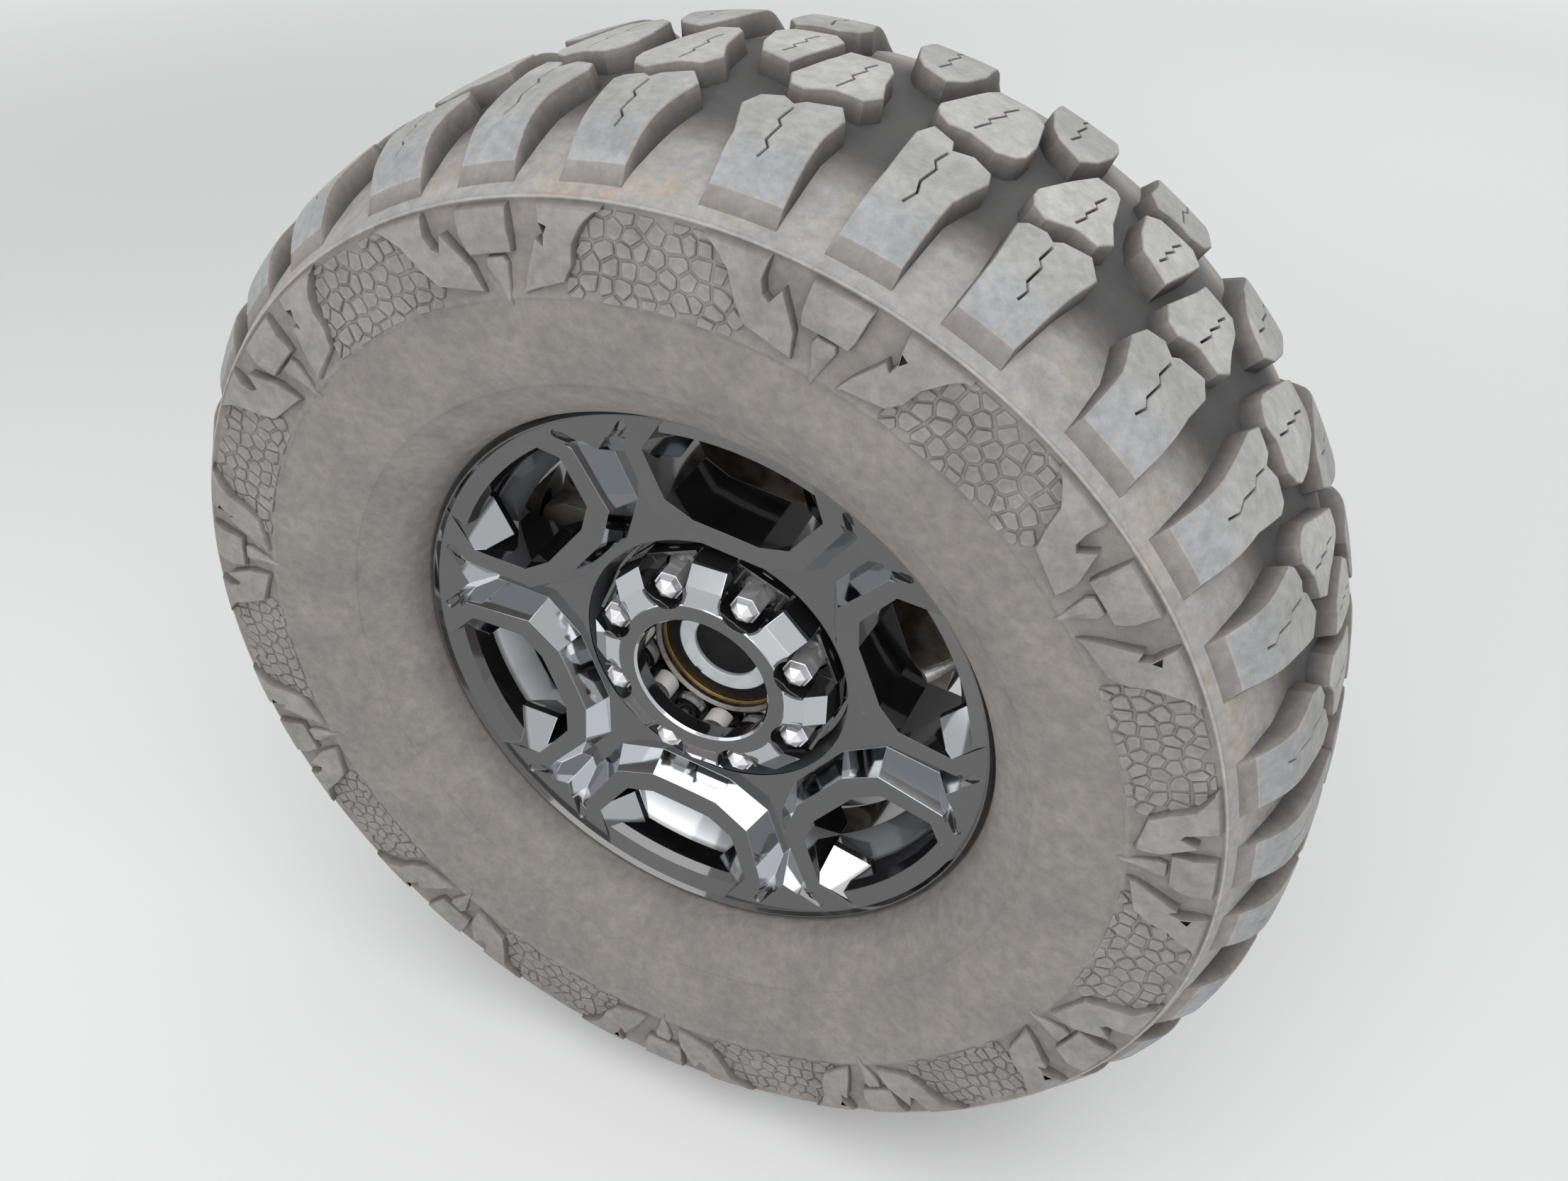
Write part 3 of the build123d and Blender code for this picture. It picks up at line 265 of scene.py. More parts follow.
# One recipe for paint, cast, machined and plated surfaces: patches of two colours and two roughnesses,
# a fine grain and rounded edges. Sizes are in millimetres
glossPaint = {
    "colours": ((0.005, 0.005, 0.006), (0.012, 0.012, 0.013)), "patch": 60.0, "roughness": (0.05, 0.10),
    "coat": 0.8, "ior": 1.85, "grain": 1.6, "grainDepth": 0.004, "edge": 0.9,
}
finishValues = {
    # The brighter facet colour of the rim and cap is a painted reflection on their sloped front faces
    "glossBlack": {**glossPaint, "paintedReflectionColour": (0.38, 0.39, 0.41)},
    "capBlack": {**glossPaint, "paintedReflectionColour": (0.50, 0.51, 0.53)},
    "nutChrome": {
        "colours": ((0.74, 0.74, 0.75), (0.86, 0.86, 0.87)), "patch": 14.0, "roughness": (0.12, 0.24),
        "metallic": 0.7, "grain": 2.5, "grainDepth": 0.01, "edge": 0.6,
    },
    "springSteel": {
        "colours": ((0.84, 0.81, 0.76), (0.95, 0.93, 0.90)), "patch": 9.0, "roughness": (0.22, 0.4),
        "metallic": 0.15, "grain": 1.0, "grainDepth": 0.02, "edge": 0.5,
    },
    "machinedSteel": {
        "colours": ((0.12, 0.11, 0.10), (0.24, 0.225, 0.21)), "patch": 8.0, "roughness": (0.25, 0.5),
        "metallic": 1.0, "grain": 0.8, "grainDepth": 0.03, "edge": 0.6,
    },
    "brakeIron": {
        "colours": ((0.24, 0.17, 0.13), (0.46, 0.42, 0.39)), "patch": 16.0, "roughness": (0.28, 0.6),
        "metallic": 0.85, "grain": 1.2, "grainDepth": 0.05, "edge": 0.6,
    },
    "lockBlack": {
        "colours": ((0.006, 0.006, 0.007), (0.014, 0.014, 0.015)), "patch": 12.0, "roughness": (0.4, 0.6),
        "ior": 1.25, "grain": 0.7, "grainDepth": 0.03, "edge": 0.5,
    },
    "dialPlastic": {
        "colours": ((0.50, 0.54, 0.57), (0.66, 0.69, 0.71)), "patch": 14.0, "roughness": (0.35, 0.5),
        "grain": 0.6, "grainDepth": 0.02, "edge": 0.6,
    },
    "goldZinc": {
        "colours": ((0.55, 0.38, 0.12), (0.72, 0.52, 0.22)), "patch": 6.0, "roughness": (0.25, 0.4),
        "metallic": 1.0, "grain": 1.0, "grainDepth": 0.01, "edge": 0.3,
    },
    "valveMetal": {
        "colours": ((0.30, 0.30, 0.30), (0.48, 0.48, 0.47)), "patch": 3.0, "roughness": (0.3, 0.5),
        "metallic": 1.0, "grain": 0.6, "grainDepth": 0.03, "edge": 0.3,
    },
    "axlePaint": {
        "colours": ((0.015, 0.015, 0.016), (0.035, 0.034, 0.033)), "patch": 40.0, "roughness": (0.32, 0.6),
        "coat": 0.3, "coatRoughness": 0.3, "grain": 3.0, "grainDepth": 0.12, "edge": 1.4,
    },
    "castSteel": {
        "colours": ((0.05, 0.045, 0.04), (0.13, 0.11, 0.095)), "patch": 26.0, "roughness": (0.5, 0.8),
        "metallic": 0.4, "grain": 1.6, "grainDepth": 0.35, "edge": 1.8,
    },
    "caliperIron": {
        "colours": ((0.16, 0.15, 0.14), (0.27, 0.25, 0.23)), "patch": 22.0, "roughness": (0.42, 0.7),
        "metallic": 0.6, "grain": 1.4, "grainDepth": 0.3, "edge": 1.6,
    },
    "shaftSteel": {
        "colours": ((0.28, 0.26, 0.24), (0.44, 0.42, 0.40)), "patch": 12.0, "roughness": (0.28, 0.5),
        "metallic": 1.0, "grain": 1.0, "grainDepth": 0.05, "edge": 0.8,
    },
    "jointBlack": {
        "colours": ((0.018, 0.018, 0.019), (0.05, 0.047, 0.044)), "patch": 10.0, "roughness": (0.4, 0.65),
        "metallic": 0.3, "grain": 1.2, "grainDepth": 0.12, "edge": 0.9,
    },
    "shieldSteel": {
        "colours": ((0.20, 0.20, 0.20), (0.34, 0.34, 0.335)), "patch": 30.0, "roughness": (0.38, 0.6),
        "metallic": 0.8, "grain": 4.0, "grainDepth": 0.08, "edge": 0.6,
    },
    "padBacking": {
        "colours": ((0.03, 0.028, 0.026), (0.075, 0.066, 0.058)), "patch": 10.0, "roughness": (0.6, 0.85),
        "grain": 0.9, "grainDepth": 0.2, "edge": 0.6,
    },
}


# Painted reflection: gloss paint turns brighter and metallic on sloped faces near the wheel's front, in
# place of the reflections those faces show, but not on its flat face, on walls along the axle, deep inside
# or by the lip.
# "Facing" is the normal's share along the axle
paintedReflectionValues = {
    "flatFacing": 0.985,
    "flatSteepness": 40.0,
    "wallFacing": 0.2,
    "wallSteepness": 5.0,
    "depth": (-0.385, -0.36),  # metres along the axle, from full to none
    "reach": 0.221,  # metres from the axle's line
    "reachSteepness": 400.0,
}


def paintedReflectionMask(tree, where, values):
    normal = tree.nodes.new("ShaderNodeSeparateXYZ")
    place = tree.nodes.new("ShaderNodeSeparateXYZ")
    tree.links.new(tree.nodes["Texture Coordinate"].outputs["Normal"], normal.inputs[0])
    tree.links.new(where, place.inputs[0])
    facing = addMaths(tree, "ABSOLUTE", normal.outputs["Y"])
    squares = [addMaths(tree, "MULTIPLY", place.outputs[k], place.outputs[k]) for k in "XZ"]
    spread = addMaths(tree, "SQRT", addMaths(tree, "ADD", *squares))
    full, none = values["depth"]
    share = 1.0
    for part in (
        addSlope(tree, values["flatFacing"], facing, values["flatSteepness"]),
        addSlope(tree, facing, values["wallFacing"], values["wallSteepness"]),
        addSlope(tree, none, place.outputs["Y"], 1 / (none - full)),
        addSlope(tree, values["reach"], spread, values["reachSteepness"]),
    ):
        share = addMaths(tree, "MULTIPLY", part, share)
    return share


def makeFinish(name):
    values = finishValues[name]
    material, tree, shader, where = startFinish(name, values)
    patches = addNoise(tree, where, values["patch"], detail=5.0, roughness=0.6)
    low, high = values["colours"]
    colour = addRamp(tree, patches, [(0.32, low), (0.68, high)])
    # Painted reflection: the mask gives sloped faces near the front the brighter colour and makes them
    # metallic
    if "paintedReflectionColour" in values:
        facet = paintedReflectionMask(tree, where, paintedReflectionValues)
        colour = addMix(tree, facet, colour, values["paintedReflectionColour"])
        tree.links.new(facet, shader.inputs["Metallic"])
    tree.links.new(colour, shader.inputs["Base Color"])
    smooth, rough = values["roughness"]
    tree.links.new(addRamp(tree, patches, [(0.3, smooth), (0.7, rough)]), shader.inputs["Roughness"])
    grain = addNoise(tree, where, values["grain"], detail=6.0, roughness=0.6)
    addBump(tree, grain, values["grainDepth"], shader, softenEdges(tree, values["edge"]))
    return material


finishes = {name: makeFinish(name) for name in finishValues}
nodeFinishes = {
    "rim": "glossBlack", "centre_cap": "capBlack", "cap_clips": "springSteel", "valve_stem": "valveMetal",
    "hub": "machinedSteel", "brake_disc": "brakeIron", "locking_hub": "lockBlack",
    "lock_dial": "dialPlastic", "retaining_ring": "goldZinc", "axle_tube": "axlePaint",
    "inner_yoke": "axlePaint", "axle_shaft": "shaftSteel", "stub_shaft": "shaftSteel",
    "joint_cross": "jointBlack", "knuckle": "castSteel", "upper_ball_joint": "jointBlack",
    "lower_ball_joint": "jointBlack", "bearing_unit": "machinedSteel", "dust_shield": "shieldSteel",
    "caliper_bracket": "castSteel", "caliper": "caliperIron", "brake_pads": "padBacking",
}
for nodeName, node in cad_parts.items():
    finishName = "nutChrome" if nodeName.startswith("lug_nut") else nodeFinishes.get(nodeName)
    if finishName:
        node.data.materials.clear()
        node.data.materials.append(finishes[finishName])
print("finishes ready")

# Tyre. Stations are (distance from the middle plane, radius) in millimetres. The pitches run clockwise
# from the first patch, whose angle is in degrees, and are long or short
midY = -307.5
tyreValues = {
    "crownRadius": 470.0,
    "topLine": [(0, 470), (50, 468), (85, 464.5), (110, 459.5), (125, 453.5), (136, 446), (146, 437.5)],
    "groundLine": [(0, 454), (50, 452), (85, 447.5), (110, 442), (130, 436), (147, 430.5), (158, 425.5)],
    "wallLine": [
        (158, 425.5), (163.8, 422.6), (165.8, 422.4), (166.4, 420.4), (165.2, 416), (166.8, 400),
        (168.2, 375), (168.8, 364), (170.7, 359), (170.6, 356), (169.4, 352.5), (167.8, 335), (164.2, 312),
        (157.5, 290), (155.8, 287), (148, 274), (139.5, 262), (131, 254.5), (122, 250.5), (112.5, 248.5),
        (106, 247.5), (102.4, 244), (102.2, 232),
    ],
    "lineSteps": (6, 5, 4),  # parts between two stations of the three lines
    "pitches": "LLLSLSLLSSL",
    "firstPatch": 123.4,
    "shortPitch": 29.6,  # degrees; the long ones share the rest
    "ringSteps": 360,
    "ledgeRadius": 421,  # the tread ground ends here and the wall begins
    # The ground is dark in the middle, painted shade in the grooves between the blocks, and light and dusty
    # on the shoulders
    "groundShadeAndDustTones": ([70, 112], [0.14, 0.75]),  # tone by distance from the middle plane
    "wallTone": 0.5,
    "smoothAngle": 50.0,
}

# Lug outlines as (along the tread, across it from the middle plane); the first number grows clockwise.
# Lugs A to C make the outboard shoulder, the blocks the middle, and lugs E to G the inboard shoulder
lugShapes = {
    "lugA": [(-26, 146), (-25, 113), (-27, 76), (-22, 70), (-9, 66), (-3, 70), (2, 64), (22, 56), (33, 72),
             (26, 102), (19, 146)],
    "lugB": [(-22, 146), (-23, 113), (-32, 85), (-26, 70), (-12, 64), (-3, 70), (2, 64), (24, 56), (32, 70),
             (29, 95), (31, 146)],
    "lugC": [(-24, 146), (-22, 123), (-21, 98), (-23, 47), (-17, 31), (0, 38), (3, 48), (16, 42), (31, 49),
             (34, 60), (24, 95), (22, 146)],
    "blockA": [(-30, 31), (-30, 41), (-26, 50), (-15, 56), (-5, 49), (4, 43), (21, 42), (29, 28), (21, 8),
               (16, -27), (11, -33), (-5, -31)],
    "blockB": [(-23, 32), (-17, 46), (-6, 49), (5, 41), (11, 38), (31, 39), (39, 26), (33, 7), (30, -15),
               (23, -28), (-6, -26), (-10, -8)],
    "blockC": [(-24, 7), (-20, 14), (-11, 21), (3, 17), (24, 23), (36, 16), (41, 8), (42, -13), (36, -50),
               (24, -62), (-4, -60), (-9, -50), (-25, 0)],
    "blockD": [(13, 17), (-12, 6), (-19, -11), (-22, -36), (-12, -47), (18, -51), (28, -40), (24, -22)],
    "lugE": [(14, -33), (-6, -44), (-14, -56), (-22, -85), (-22, -146), (23, -146), (31, -95), (30, -75),
             (24, -50)],
    "lugF": [(20, -146), (21, -113), (28, -85), (24, -72), (11, -64), (-2, -66), (-20, -60), (-29, -72),
             (-27, -95), (-29, -146)],
    "lugG": [(12, -36), (-8, -46), (-16, -58), (-24, -85), (-19, -146), (26, -146), (27, -113), (29, -76),
             (23, -52)],
}
# Zigzag cut in each lug, as its centre line
sipeLines = {
    "lugA": [(1, 126), (3, 118), (-1, 113), (1, 97), (-3, 92), (-1, 75)],
    "lugB": [(0, 126), (3, 118), (-1, 113), (1, 97), (-3, 92), (-1, 75)],
    "lugC": [(-1, 115), (3, 103), (0, 93), (3, 75), (-1, 68), (2, 53)],
    "blockA": [(1, 38), (5, 24), (3, 21), (7, 6), (4, 3), (8, -14)],
    "blockB": [(9, 33), (14, 15), (11, 12), (16, -2), (13, -5), (17, -18)],
    "blockC": [(3, 10), (9, -8), (6, -11), (13, -30), (10, -33), (16, -50)],
    "blockD": [(1, 2), (5, -10), (2, -13), (7, -25), (4, -28), (9, -41)],
    "lugE": [(0, -55), (4, -71), (0, -75), (3, -96), (-1, -100), (2, -122)],
    "lugF": [(1, -74), (-3, -92), (1, -97), (-1, -122)],
    "lugG": [(0, -55), (4, -71), (0, -75), (3, -96), (-1, -100), (2, -122)],
}
# Where each lug sits: degrees clockwise from a patch centre, or from the next patch centre when negative
lugPlaces = {
    "lugB": 5.6, "lugC": 17.0, "lugA": -6.7, "blockB": 5.6, "blockC": 17.0, "blockA": -6.7,
    "blockD": 0.3, "lugE": -10.8, "lugF": 0.6, "lugG": 11.4,
}
lugValues = {
    "step": 9.0,
    "bevel": 0.9,
    "flare": 2.2,
    "edgeDrop": 0.9,
    "footSink": 1.5,
    "endFrom": 140,  # feet further out than this belong to the lug's end wall
    "endFoot": 157,
    "endRadius": 425,
    "topTones": ([50, 62, 108, 130], [1.0, 0.94, 0.94, 0.86]),  # by distance from the middle plane
    # Lug walls darken from the edge tone down to the foot tone: painted shade at the lug feet
    "edgeTone": 0.58,
    "endTone": 0.42,
    "paintedFootShade": 0.06,
    "smoothAngle": 30.0,
}
sipeValues = {"width": 1.5, "bevel": 0.35}
fillValues = {"margin": 0.45, "clearance": 0.4}  # how far inner points keep from the edges, in steps


# Relief on the sidewall: (degrees clockwise from the patch centre, radius)
wallShapes = {
    "clawLeft": [
        (-14.8, 359.5), (-13.9, 373), (-12.4, 390), (-11.9, 397), (-11.2, 392), (-10.9, 400), (-11.2, 407),
        (-11.4, 419.5), (-5.2, 419.5), (-6.8, 408), (-8.1, 395), (-8.6, 380), (-9.8, 369),
    ],
    "clawRight": [
        (4.4, 419.5), (10.3, 419.5), (10.2, 405), (10.6, 396), (11.3, 393), (12.2, 404), (14.2, 381),
        (14.6, 362), (9.3, 372), (8.1, 386), (7.1, 403), (5.8, 411),
    ],
    "wallBlock": [(14.3, 418), (19.8, 418), (19.6, 396), (19.3, 387.5), (14.5, 387.5), (14.3, 396)],
    "thorn": [(16.2, 385), (18.1, 385), (18.4, 380), (17.2, 350.5), (15.9, 379)],
}
# Height off the wall by radius, and the line along which each shape is creased
wallRises = {
    "clawLeft": [(359, 4.4), (375, 7.2), (405, 9.8), (420, 6.0)],
    "clawRight": [(359, 4.4), (375, 7.2), (405, 9.8), (420, 6.0)],
    "wallBlock": [(387, 5.6), (402, 8.8), (418, 6.0)], "thorn": [(350, 0.6), (366, 2.6), (385, 4.0)],
}
wallCreases = {
    "clawLeft": ((-11.1, 405), (-7.2, 405)), "clawRight": ((6.9, 405), (10.0, 405)),
    "wallBlock": ((14.6, 402), (19.5, 402)), "thorn": ((17.15, 383.5), (17.2, 356)),
}
reliefValues = {
    "flatRadius": 400,  # the forms are drawn flat at this radius
    "step": 6.0,
    "bevel": 0.5,
    "flare": 0.5,
    "edgeDrop": 0.6,
    "footSink": 1.0,
    # The dark foot tone is painted shade where the relief meets the sidewall
    "tones": [0.60, 0.54, 0.25],  # top, rounded edge, foot
    "thornCrest": 3.4,
    "thornHalf": 6.0,
    "smoothAngle": 30.0,
}
# Outline of the patch of stones between two claws, and how it is filled
patchShape = [(-6.2, 417), (-7.6, 405), (-9.2, 386), (-9.9, 368), (-10.2, 357), (10.0, 357), (9.6, 369),
              (8.6, 384), (7.6, 402), (5.2, 417)]
stoneValues = {
    "seed": 4,
    "spacing": 13.0,
    "rowShare": 0.92,
    "shift": (4.2, 4.0),
    "firstReach": 1.6,  # half of a cell's first square, in spacings
    "neighbours": 13,
    "leastSide": 1.2,
    "leastArea": 60,
    "leastHalf": 4.6,
    "rings": [  # inset, height, tone
        # The first ring sinks into the gap between stones; its dark tone is painted shade in that gap
        (0.5, -1.2, 0.25), (1.0, 1.2, 0.50), (1.6, 1.9, 0.60), (2.9, 1.5, 0.54),
    ],
    "liftSeed": 7,
    "lifts": (0.55, 1.25),
}


def smoothLine(points, steps):  # a smooth curve through the points
    line = np.array(points, float)
    ends = np.vstack([2 * line[0] - line[1], line, 2 * line[-1] - line[-2]])
    out = []
    for i in range(len(line) - 1):
        a, b, c, d = ends[i : i + 4]
        for t in np.linspace(0, 1, steps, endpoint=False):
            bend, twist = 2 * a - 5 * b + 4 * c - d, 3 * b - a - 3 * c + d
            out.append(0.5 * (2 * b + (c - a) * t + bend * t**2 + twist * t**3))
    out.append(line[-1])
    return np.array(out)


topLine, groundLine, wallLine = (
    smoothLine(tyreValues[name], steps)
    for name, steps in zip(("topLine", "groundLine", "wallLine"), tyreValues["lineSteps"])
)
wallUp = wallLine[::-1]  # from the bead outwards, for looking up by radius


def topRadius(across):
    return np.interp(np.abs(across), topLine[:, 0], topLine[:, 1])


def groundRadius(across):
    return np.interp(np.abs(across), groundLine[:, 0], groundLine[:, 1])


def wallAcross(radius):
    return np.interp(radius, wallUp[:, 1], wallUp[:, 0])


def insideLoop(point, loop):
    x, y = point
    inside = False
    for (x1, y1), (x2, y2) in zip(loop, np.roll(loop, -1, axis=0)):
        if (y1 > y) != (y2 > y) and x < (x2 - x1) * (y - y1) / (y2 - y1) + x1:
            inside = not inside
    return inside


def loopArea(loop):
    x, y = np.array(loop, float).T
    return 0.5 * float(np.sum(x * np.roll(y, -1) - np.roll(x, -1) * y))


def divideLoop(loop, step):
    out = []
    for a, b in zip(np.array(loop, float), np.roll(np.array(loop, float), -1, axis=0)):
        parts = max(1, int(round(np.linalg.norm(b - a) / step)))
        out += [a + (b - a) * i / parts for i in range(parts)]
    return np.array(out)


def awayFrom(a, b):  # unit vectors to the right of the way from a to b
    d = b - a
    d = d / np.maximum(np.linalg.norm(d, axis=1, keepdims=True), 1e-9)
    return np.stack([d[:, 1], -d[:, 0]], axis=1)


def growLoop(loop, amount):  # the loop moved outwards by amount, for a loop that runs anticlockwise
    before, after = np.roll(loop, 1, axis=0), np.roll(loop, -1, axis=0)
    first, second = awayFrom(before, loop), awayFrom(loop, after)
    mid = first + second
    mid /= np.maximum(np.linalg.norm(mid, axis=1, keepdims=True), 1e-9)
    spread = np.clip(np.sum(mid * second, axis=1, keepdims=True), 0.5, 1)
    return loop + mid * amount / spread


def cutLoop(line, width):  # a narrow anticlockwise loop round a centre line
    line = np.array(line, float)
    d = np.gradient(line, axis=0)
    d /= np.linalg.norm(d, axis=1, keepdims=True)
    side = np.stack([-d[:, 1], d[:, 0]], axis=1) * width / 2
    loop = np.vstack([line - side, (line + side)[::-1]])
    return loop if loopArea(loop) > 0 else loop[::-1]


# Flat points with their level (0 top, 1 rounded edge, 2 foot) and the faces between them. The top keeps the
# cuts open and the creases as edges
def planForm(outline, values, cuts=(), creases=()):
    step, flare = values["step"], values["flare"]
    outline = np.array(outline, float)
    if loopArea(outline) < 0:
        outline = outline[::-1]
    outer = divideLoop(outline, step)
    holes = [divideLoop(cutLoop(cut, sipeValues["width"]), step) for cut in cuts]
    loops = [(outer, -values["bevel"], flare)] + [(hole[::-1], -sipeValues["bevel"], 0.0) for hole in holes]
    points, levels, faces, tops, edges = [], [], [], [], []
    for loop, inset, spread in loops:
        if loopArea(loop) > 0:
            top, foot = growLoop(loop, inset), growLoop(loop, spread)
        else:
            flipped = loop[::-1]
            top, foot = growLoop(flipped, -inset)[::-1], flipped[::-1]
        start, count = len(points), len(loop)
        points += [*top, *loop, *foot]
        levels += [0] * count + [1] * count + [2] * count
        for i in range(count):
            j = (i + 1) % count
            for ring in (0, count):
                low, high = start + ring, start + ring + count
                faces.append((low + i, low + j, high + j, high + i))
        tops.append(top)
        edges.append((start, count))
    ridges = []
    for crease in creases:
        line = np.array(crease, float)
        count = max(2, int(round(np.linalg.norm(line[1] - line[0]) / step)) + 1)
        ridges.append((len(points), count))
        points += [line[0] + (line[1] - line[0]) * share for share in np.linspace(0, 1, count)]
        levels += [0] * count
    crestPoints = np.array([points[s + i] for s, c in ridges for i in range(c)]).reshape(-1, 2)
    low, high = outer.min(0), outer.max(0)
    inner = growLoop(outer, -step * fillValues["margin"])
    for x in np.arange(low[0] + step / 2, high[0], step):
        for y in np.arange(low[1] + step / 2, high[1], step):
            near = min(
                np.min(np.linalg.norm(loop - (x, y), axis=1), initial=1e9) for loop in [*tops, crestPoints]
            )
            if near <= step * fillValues["clearance"] or not insideLoop((x, y), inner):
                continue
            if not any(insideLoop((x, y), hole) for hole in tops[1:]):
                points.append(np.array((x, y)))
                levels.append(0)
    flat = [i for i, level in enumerate(levels) if level == 0]
    place = {i: k for k, i in enumerate(flat)}
    lines = [(place[s + i], place[s + (i + 1) % c]) for s, c in edges for i in range(c)]
    lines += [(place[s + i], place[s + i + 1]) for s, c in ridges for i in range(c - 1)]
    found = delaunay_2d_cdt([Vector(points[i]) for i in flat], lines, [], 0, 1e-5)
    backTo = [origin[0] if origin else None for origin in found[3]]
    for face in found[2]:
        middle = np.mean([found[0][k] for k in face], axis=0)
        if None in [backTo[k] for k in face] or not insideLoop(middle, tops[0]):
            continue
        if not any(insideLoop(middle, hole) for hole in tops[1:]):
            faces.append(tuple(flat[backTo[k]] for k in face))
    return np.array(points), np.array(levels), faces


class MeshPile:  # points, faces and tones gathered into one mesh

    def __init__(self):
        self.points, self.faces, self.tones, self.count = [], [], [], 0

    def add(self, points, faces, tones, flip=False):
        self.points.append(points)
        self.faces += [tuple(k + self.count for k in (face[::-1] if flip else face)) for face in faces]
        self.tones.append(np.broadcast_to(tones, len(points)))
        self.count += len(points)

    def make(self, name, material, smoothAngle):
        mesh = bpy.data.meshes.new(name)
        mesh.from_pydata(np.vstack(self.points).tolist(), [], self.faces)
        tone = mesh.attributes.new("tone", "FLOAT", "POINT")
        tone.data.foreach_set("value", np.concatenate(self.tones).astype(np.float32))
        mesh.materials.append(material)
        mesh.polygons.foreach_set("use_smooth", [True] * len(mesh.polygons))
        mesh.set_sharp_from_angle(angle=math.radians(smoothAngle))
        piece = bpy.data.objects.new(name, mesh)
        bpy.context.scene.collection.objects.link(piece)
        return piece


# Points in metres from degrees about the axle, radius and distance outboard of the middle plane
def turnedPoint(angle, radius, across):
    turn = np.radians(angle)
    return np.stack([radius * np.cos(turn), midY - across, radius * np.sin(turn)], axis=-1) * mm


# For each pitch, clockwise: the angle of its patch, its share of the long pitch, the next patch's angle
def pitchTable(values):
    table, angle = [], values["firstPatch"]
    kinds, short = values["pitches"], values["shortPitch"]
    long = (360.0 - kinds.count("S") * short) / kinds.count("L")
    for kind in kinds:
        width = long if kind == "L" else short
        table.append((angle, width / long, angle - width))
        angle -= width
    return table


# Degrees clockwise from the pitch's own patch, or before the next one when negative
def stationAngle(pitch, degrees):
    angle, share, following = pitch
    return (angle if degrees >= 0 else following) - degrees * share


pitches = pitchTable(tyreValues)

# Colours along the "tone" that each point of the tyre carries, from the darkest, painted shade at the
# groove bottoms and lug feet, to the lug tops
rubberValues = {
    "tones": [
        (0.0, (0.048, 0.048, 0.050)), (0.2, (0.09, 0.087, 0.085)), (0.42, (0.162, 0.147, 0.136)),
        (0.5, (0.212, 0.195, 0.181)), (0.62, (0.245, 0.235, 0.226)), (0.75, (0.335, 0.325, 0.315)),
        (0.86, (0.302, 0.309, 0.317)), (0.94, (0.36, 0.361, 0.354)), (1.0, (0.445, 0.442, 0.425)),
    ],
    "clouds": (55.0, 6.0, 0.62),  # each noise: size in millimetres, detail, roughness
    "scuffs": (9.0, 8.0, 0.7),
    "specks": (2.2, 3.0, 0.6),
    "mud": (0.30, 0.235, 0.165),
    "mudTones": [(0.66, 0.0), (0.72, 1.0), (0.78, 1.0), (0.84, 0.0)],  # how much of it by tone
    "speck": (0.5, 0.49, 0.47),
    "roughness": (0.62, 0.86),
    "shine": 0.35,
    "coarseBump": (7.0, 0.35),  # size and depth in millimetres
    "fineBump": (0.9, 0.08),
}


def makeRubber():
    material, tree, shader, where = startFinish("dustyRubber", rubberValues)
    tone = tree.nodes.new("ShaderNodeAttribute")
    tone.attribute_name = "tone"
    base = addRamp(tree, tone.outputs["Fac"], rubberValues["tones"])
    clouds, scuffs, specks = (
        addNoise(tree, where, *rubberValues[name]) for name in ("clouds", "scuffs", "specks")
    )
    mudPlaces = addRamp(tree, clouds, [(0.52, 0.0), (0.66, 0.5)])
    mudTones = addRamp(tree, tone.outputs["Fac"], rubberValues["mudTones"])
    mudMask = addMaths(tree, "MULTIPLY", mudPlaces, mudTones)
    muddy = addMix(tree, mudMask, base, rubberValues["mud"])
    dusted = addMix(tree, 0.5, muddy, addRamp(tree, clouds, [(0.35, 0.38), (0.7, 0.63)]), "OVERLAY")
    scuffed = addMix(tree, 0.5, dusted, addRamp(tree, scuffs, [(0.35, 0.33), (0.65, 0.65)]), "OVERLAY")
    speckMask = addRamp(tree, specks, [(0.70, 0.0), (0.76, 0.3)])
    spotted = addMix(tree, speckMask, scuffed, rubberValues["speck"])
    tree.links.new(spotted, shader.inputs["Base Color"])
    smooth, rough = rubberValues["roughness"]
    tree.links.new(addRamp(tree, scuffs, [(0.3, smooth), (0.7, rough)]), shader.inputs["Roughness"])
    shader.inputs["Specular IOR Level"].default_value = rubberValues["shine"]
    (coarse, coarseDepth), (fine, fineDepth) = rubberValues["coarseBump"], rubberValues["fineBump"]
    lumps = addBump(tree, addNoise(tree, where, coarse, detail=6.0, roughness=0.65), coarseDepth)
    addBump(tree, addNoise(tree, where, fine, detail=4.0, roughness=0.6), fineDepth, shader, lumps)
    return material


dustyRubber = makeRubber()


def makeCasing():  # the carcass: tread ground, shoulders and sidewalls turned about the axle line
    half = np.vstack([groundLine[:-1], wallLine])
    outline = np.vstack([half[::-1] * (-1, 1), half[1:]])
    steps = tyreValues["ringSteps"]
    angles = np.linspace(0, 360, steps, endpoint=False)
    rings = len(outline)
    across, angle = np.meshgrid(outline[:, 0], angles)
    radius = np.broadcast_to(outline[:, 1], across.shape)
    points = turnedPoint(angle, radius, across).reshape(-1, 3)
    faces = []
    for i in range(steps):
        j = (i + 1) % steps
        here, there = i * rings, j * rings
        faces += [(here + k, there + k, there + k + 1, here + k + 1) for k in range(rings - 1)]
    # Painted shade: dark ground tone in the middle grooves
    ground = np.interp(np.abs(across), *tyreValues["groundShadeAndDustTones"])
    tones = np.where(radius > tyreValues["ledgeRadius"], ground, tyreValues["wallTone"]).reshape(-1)
    pile = MeshPile()
    pile.add(points, faces, tones, flip=True)
    return pile.make("tyreCasing", dustyRubber, tyreValues["smoothAngle"])


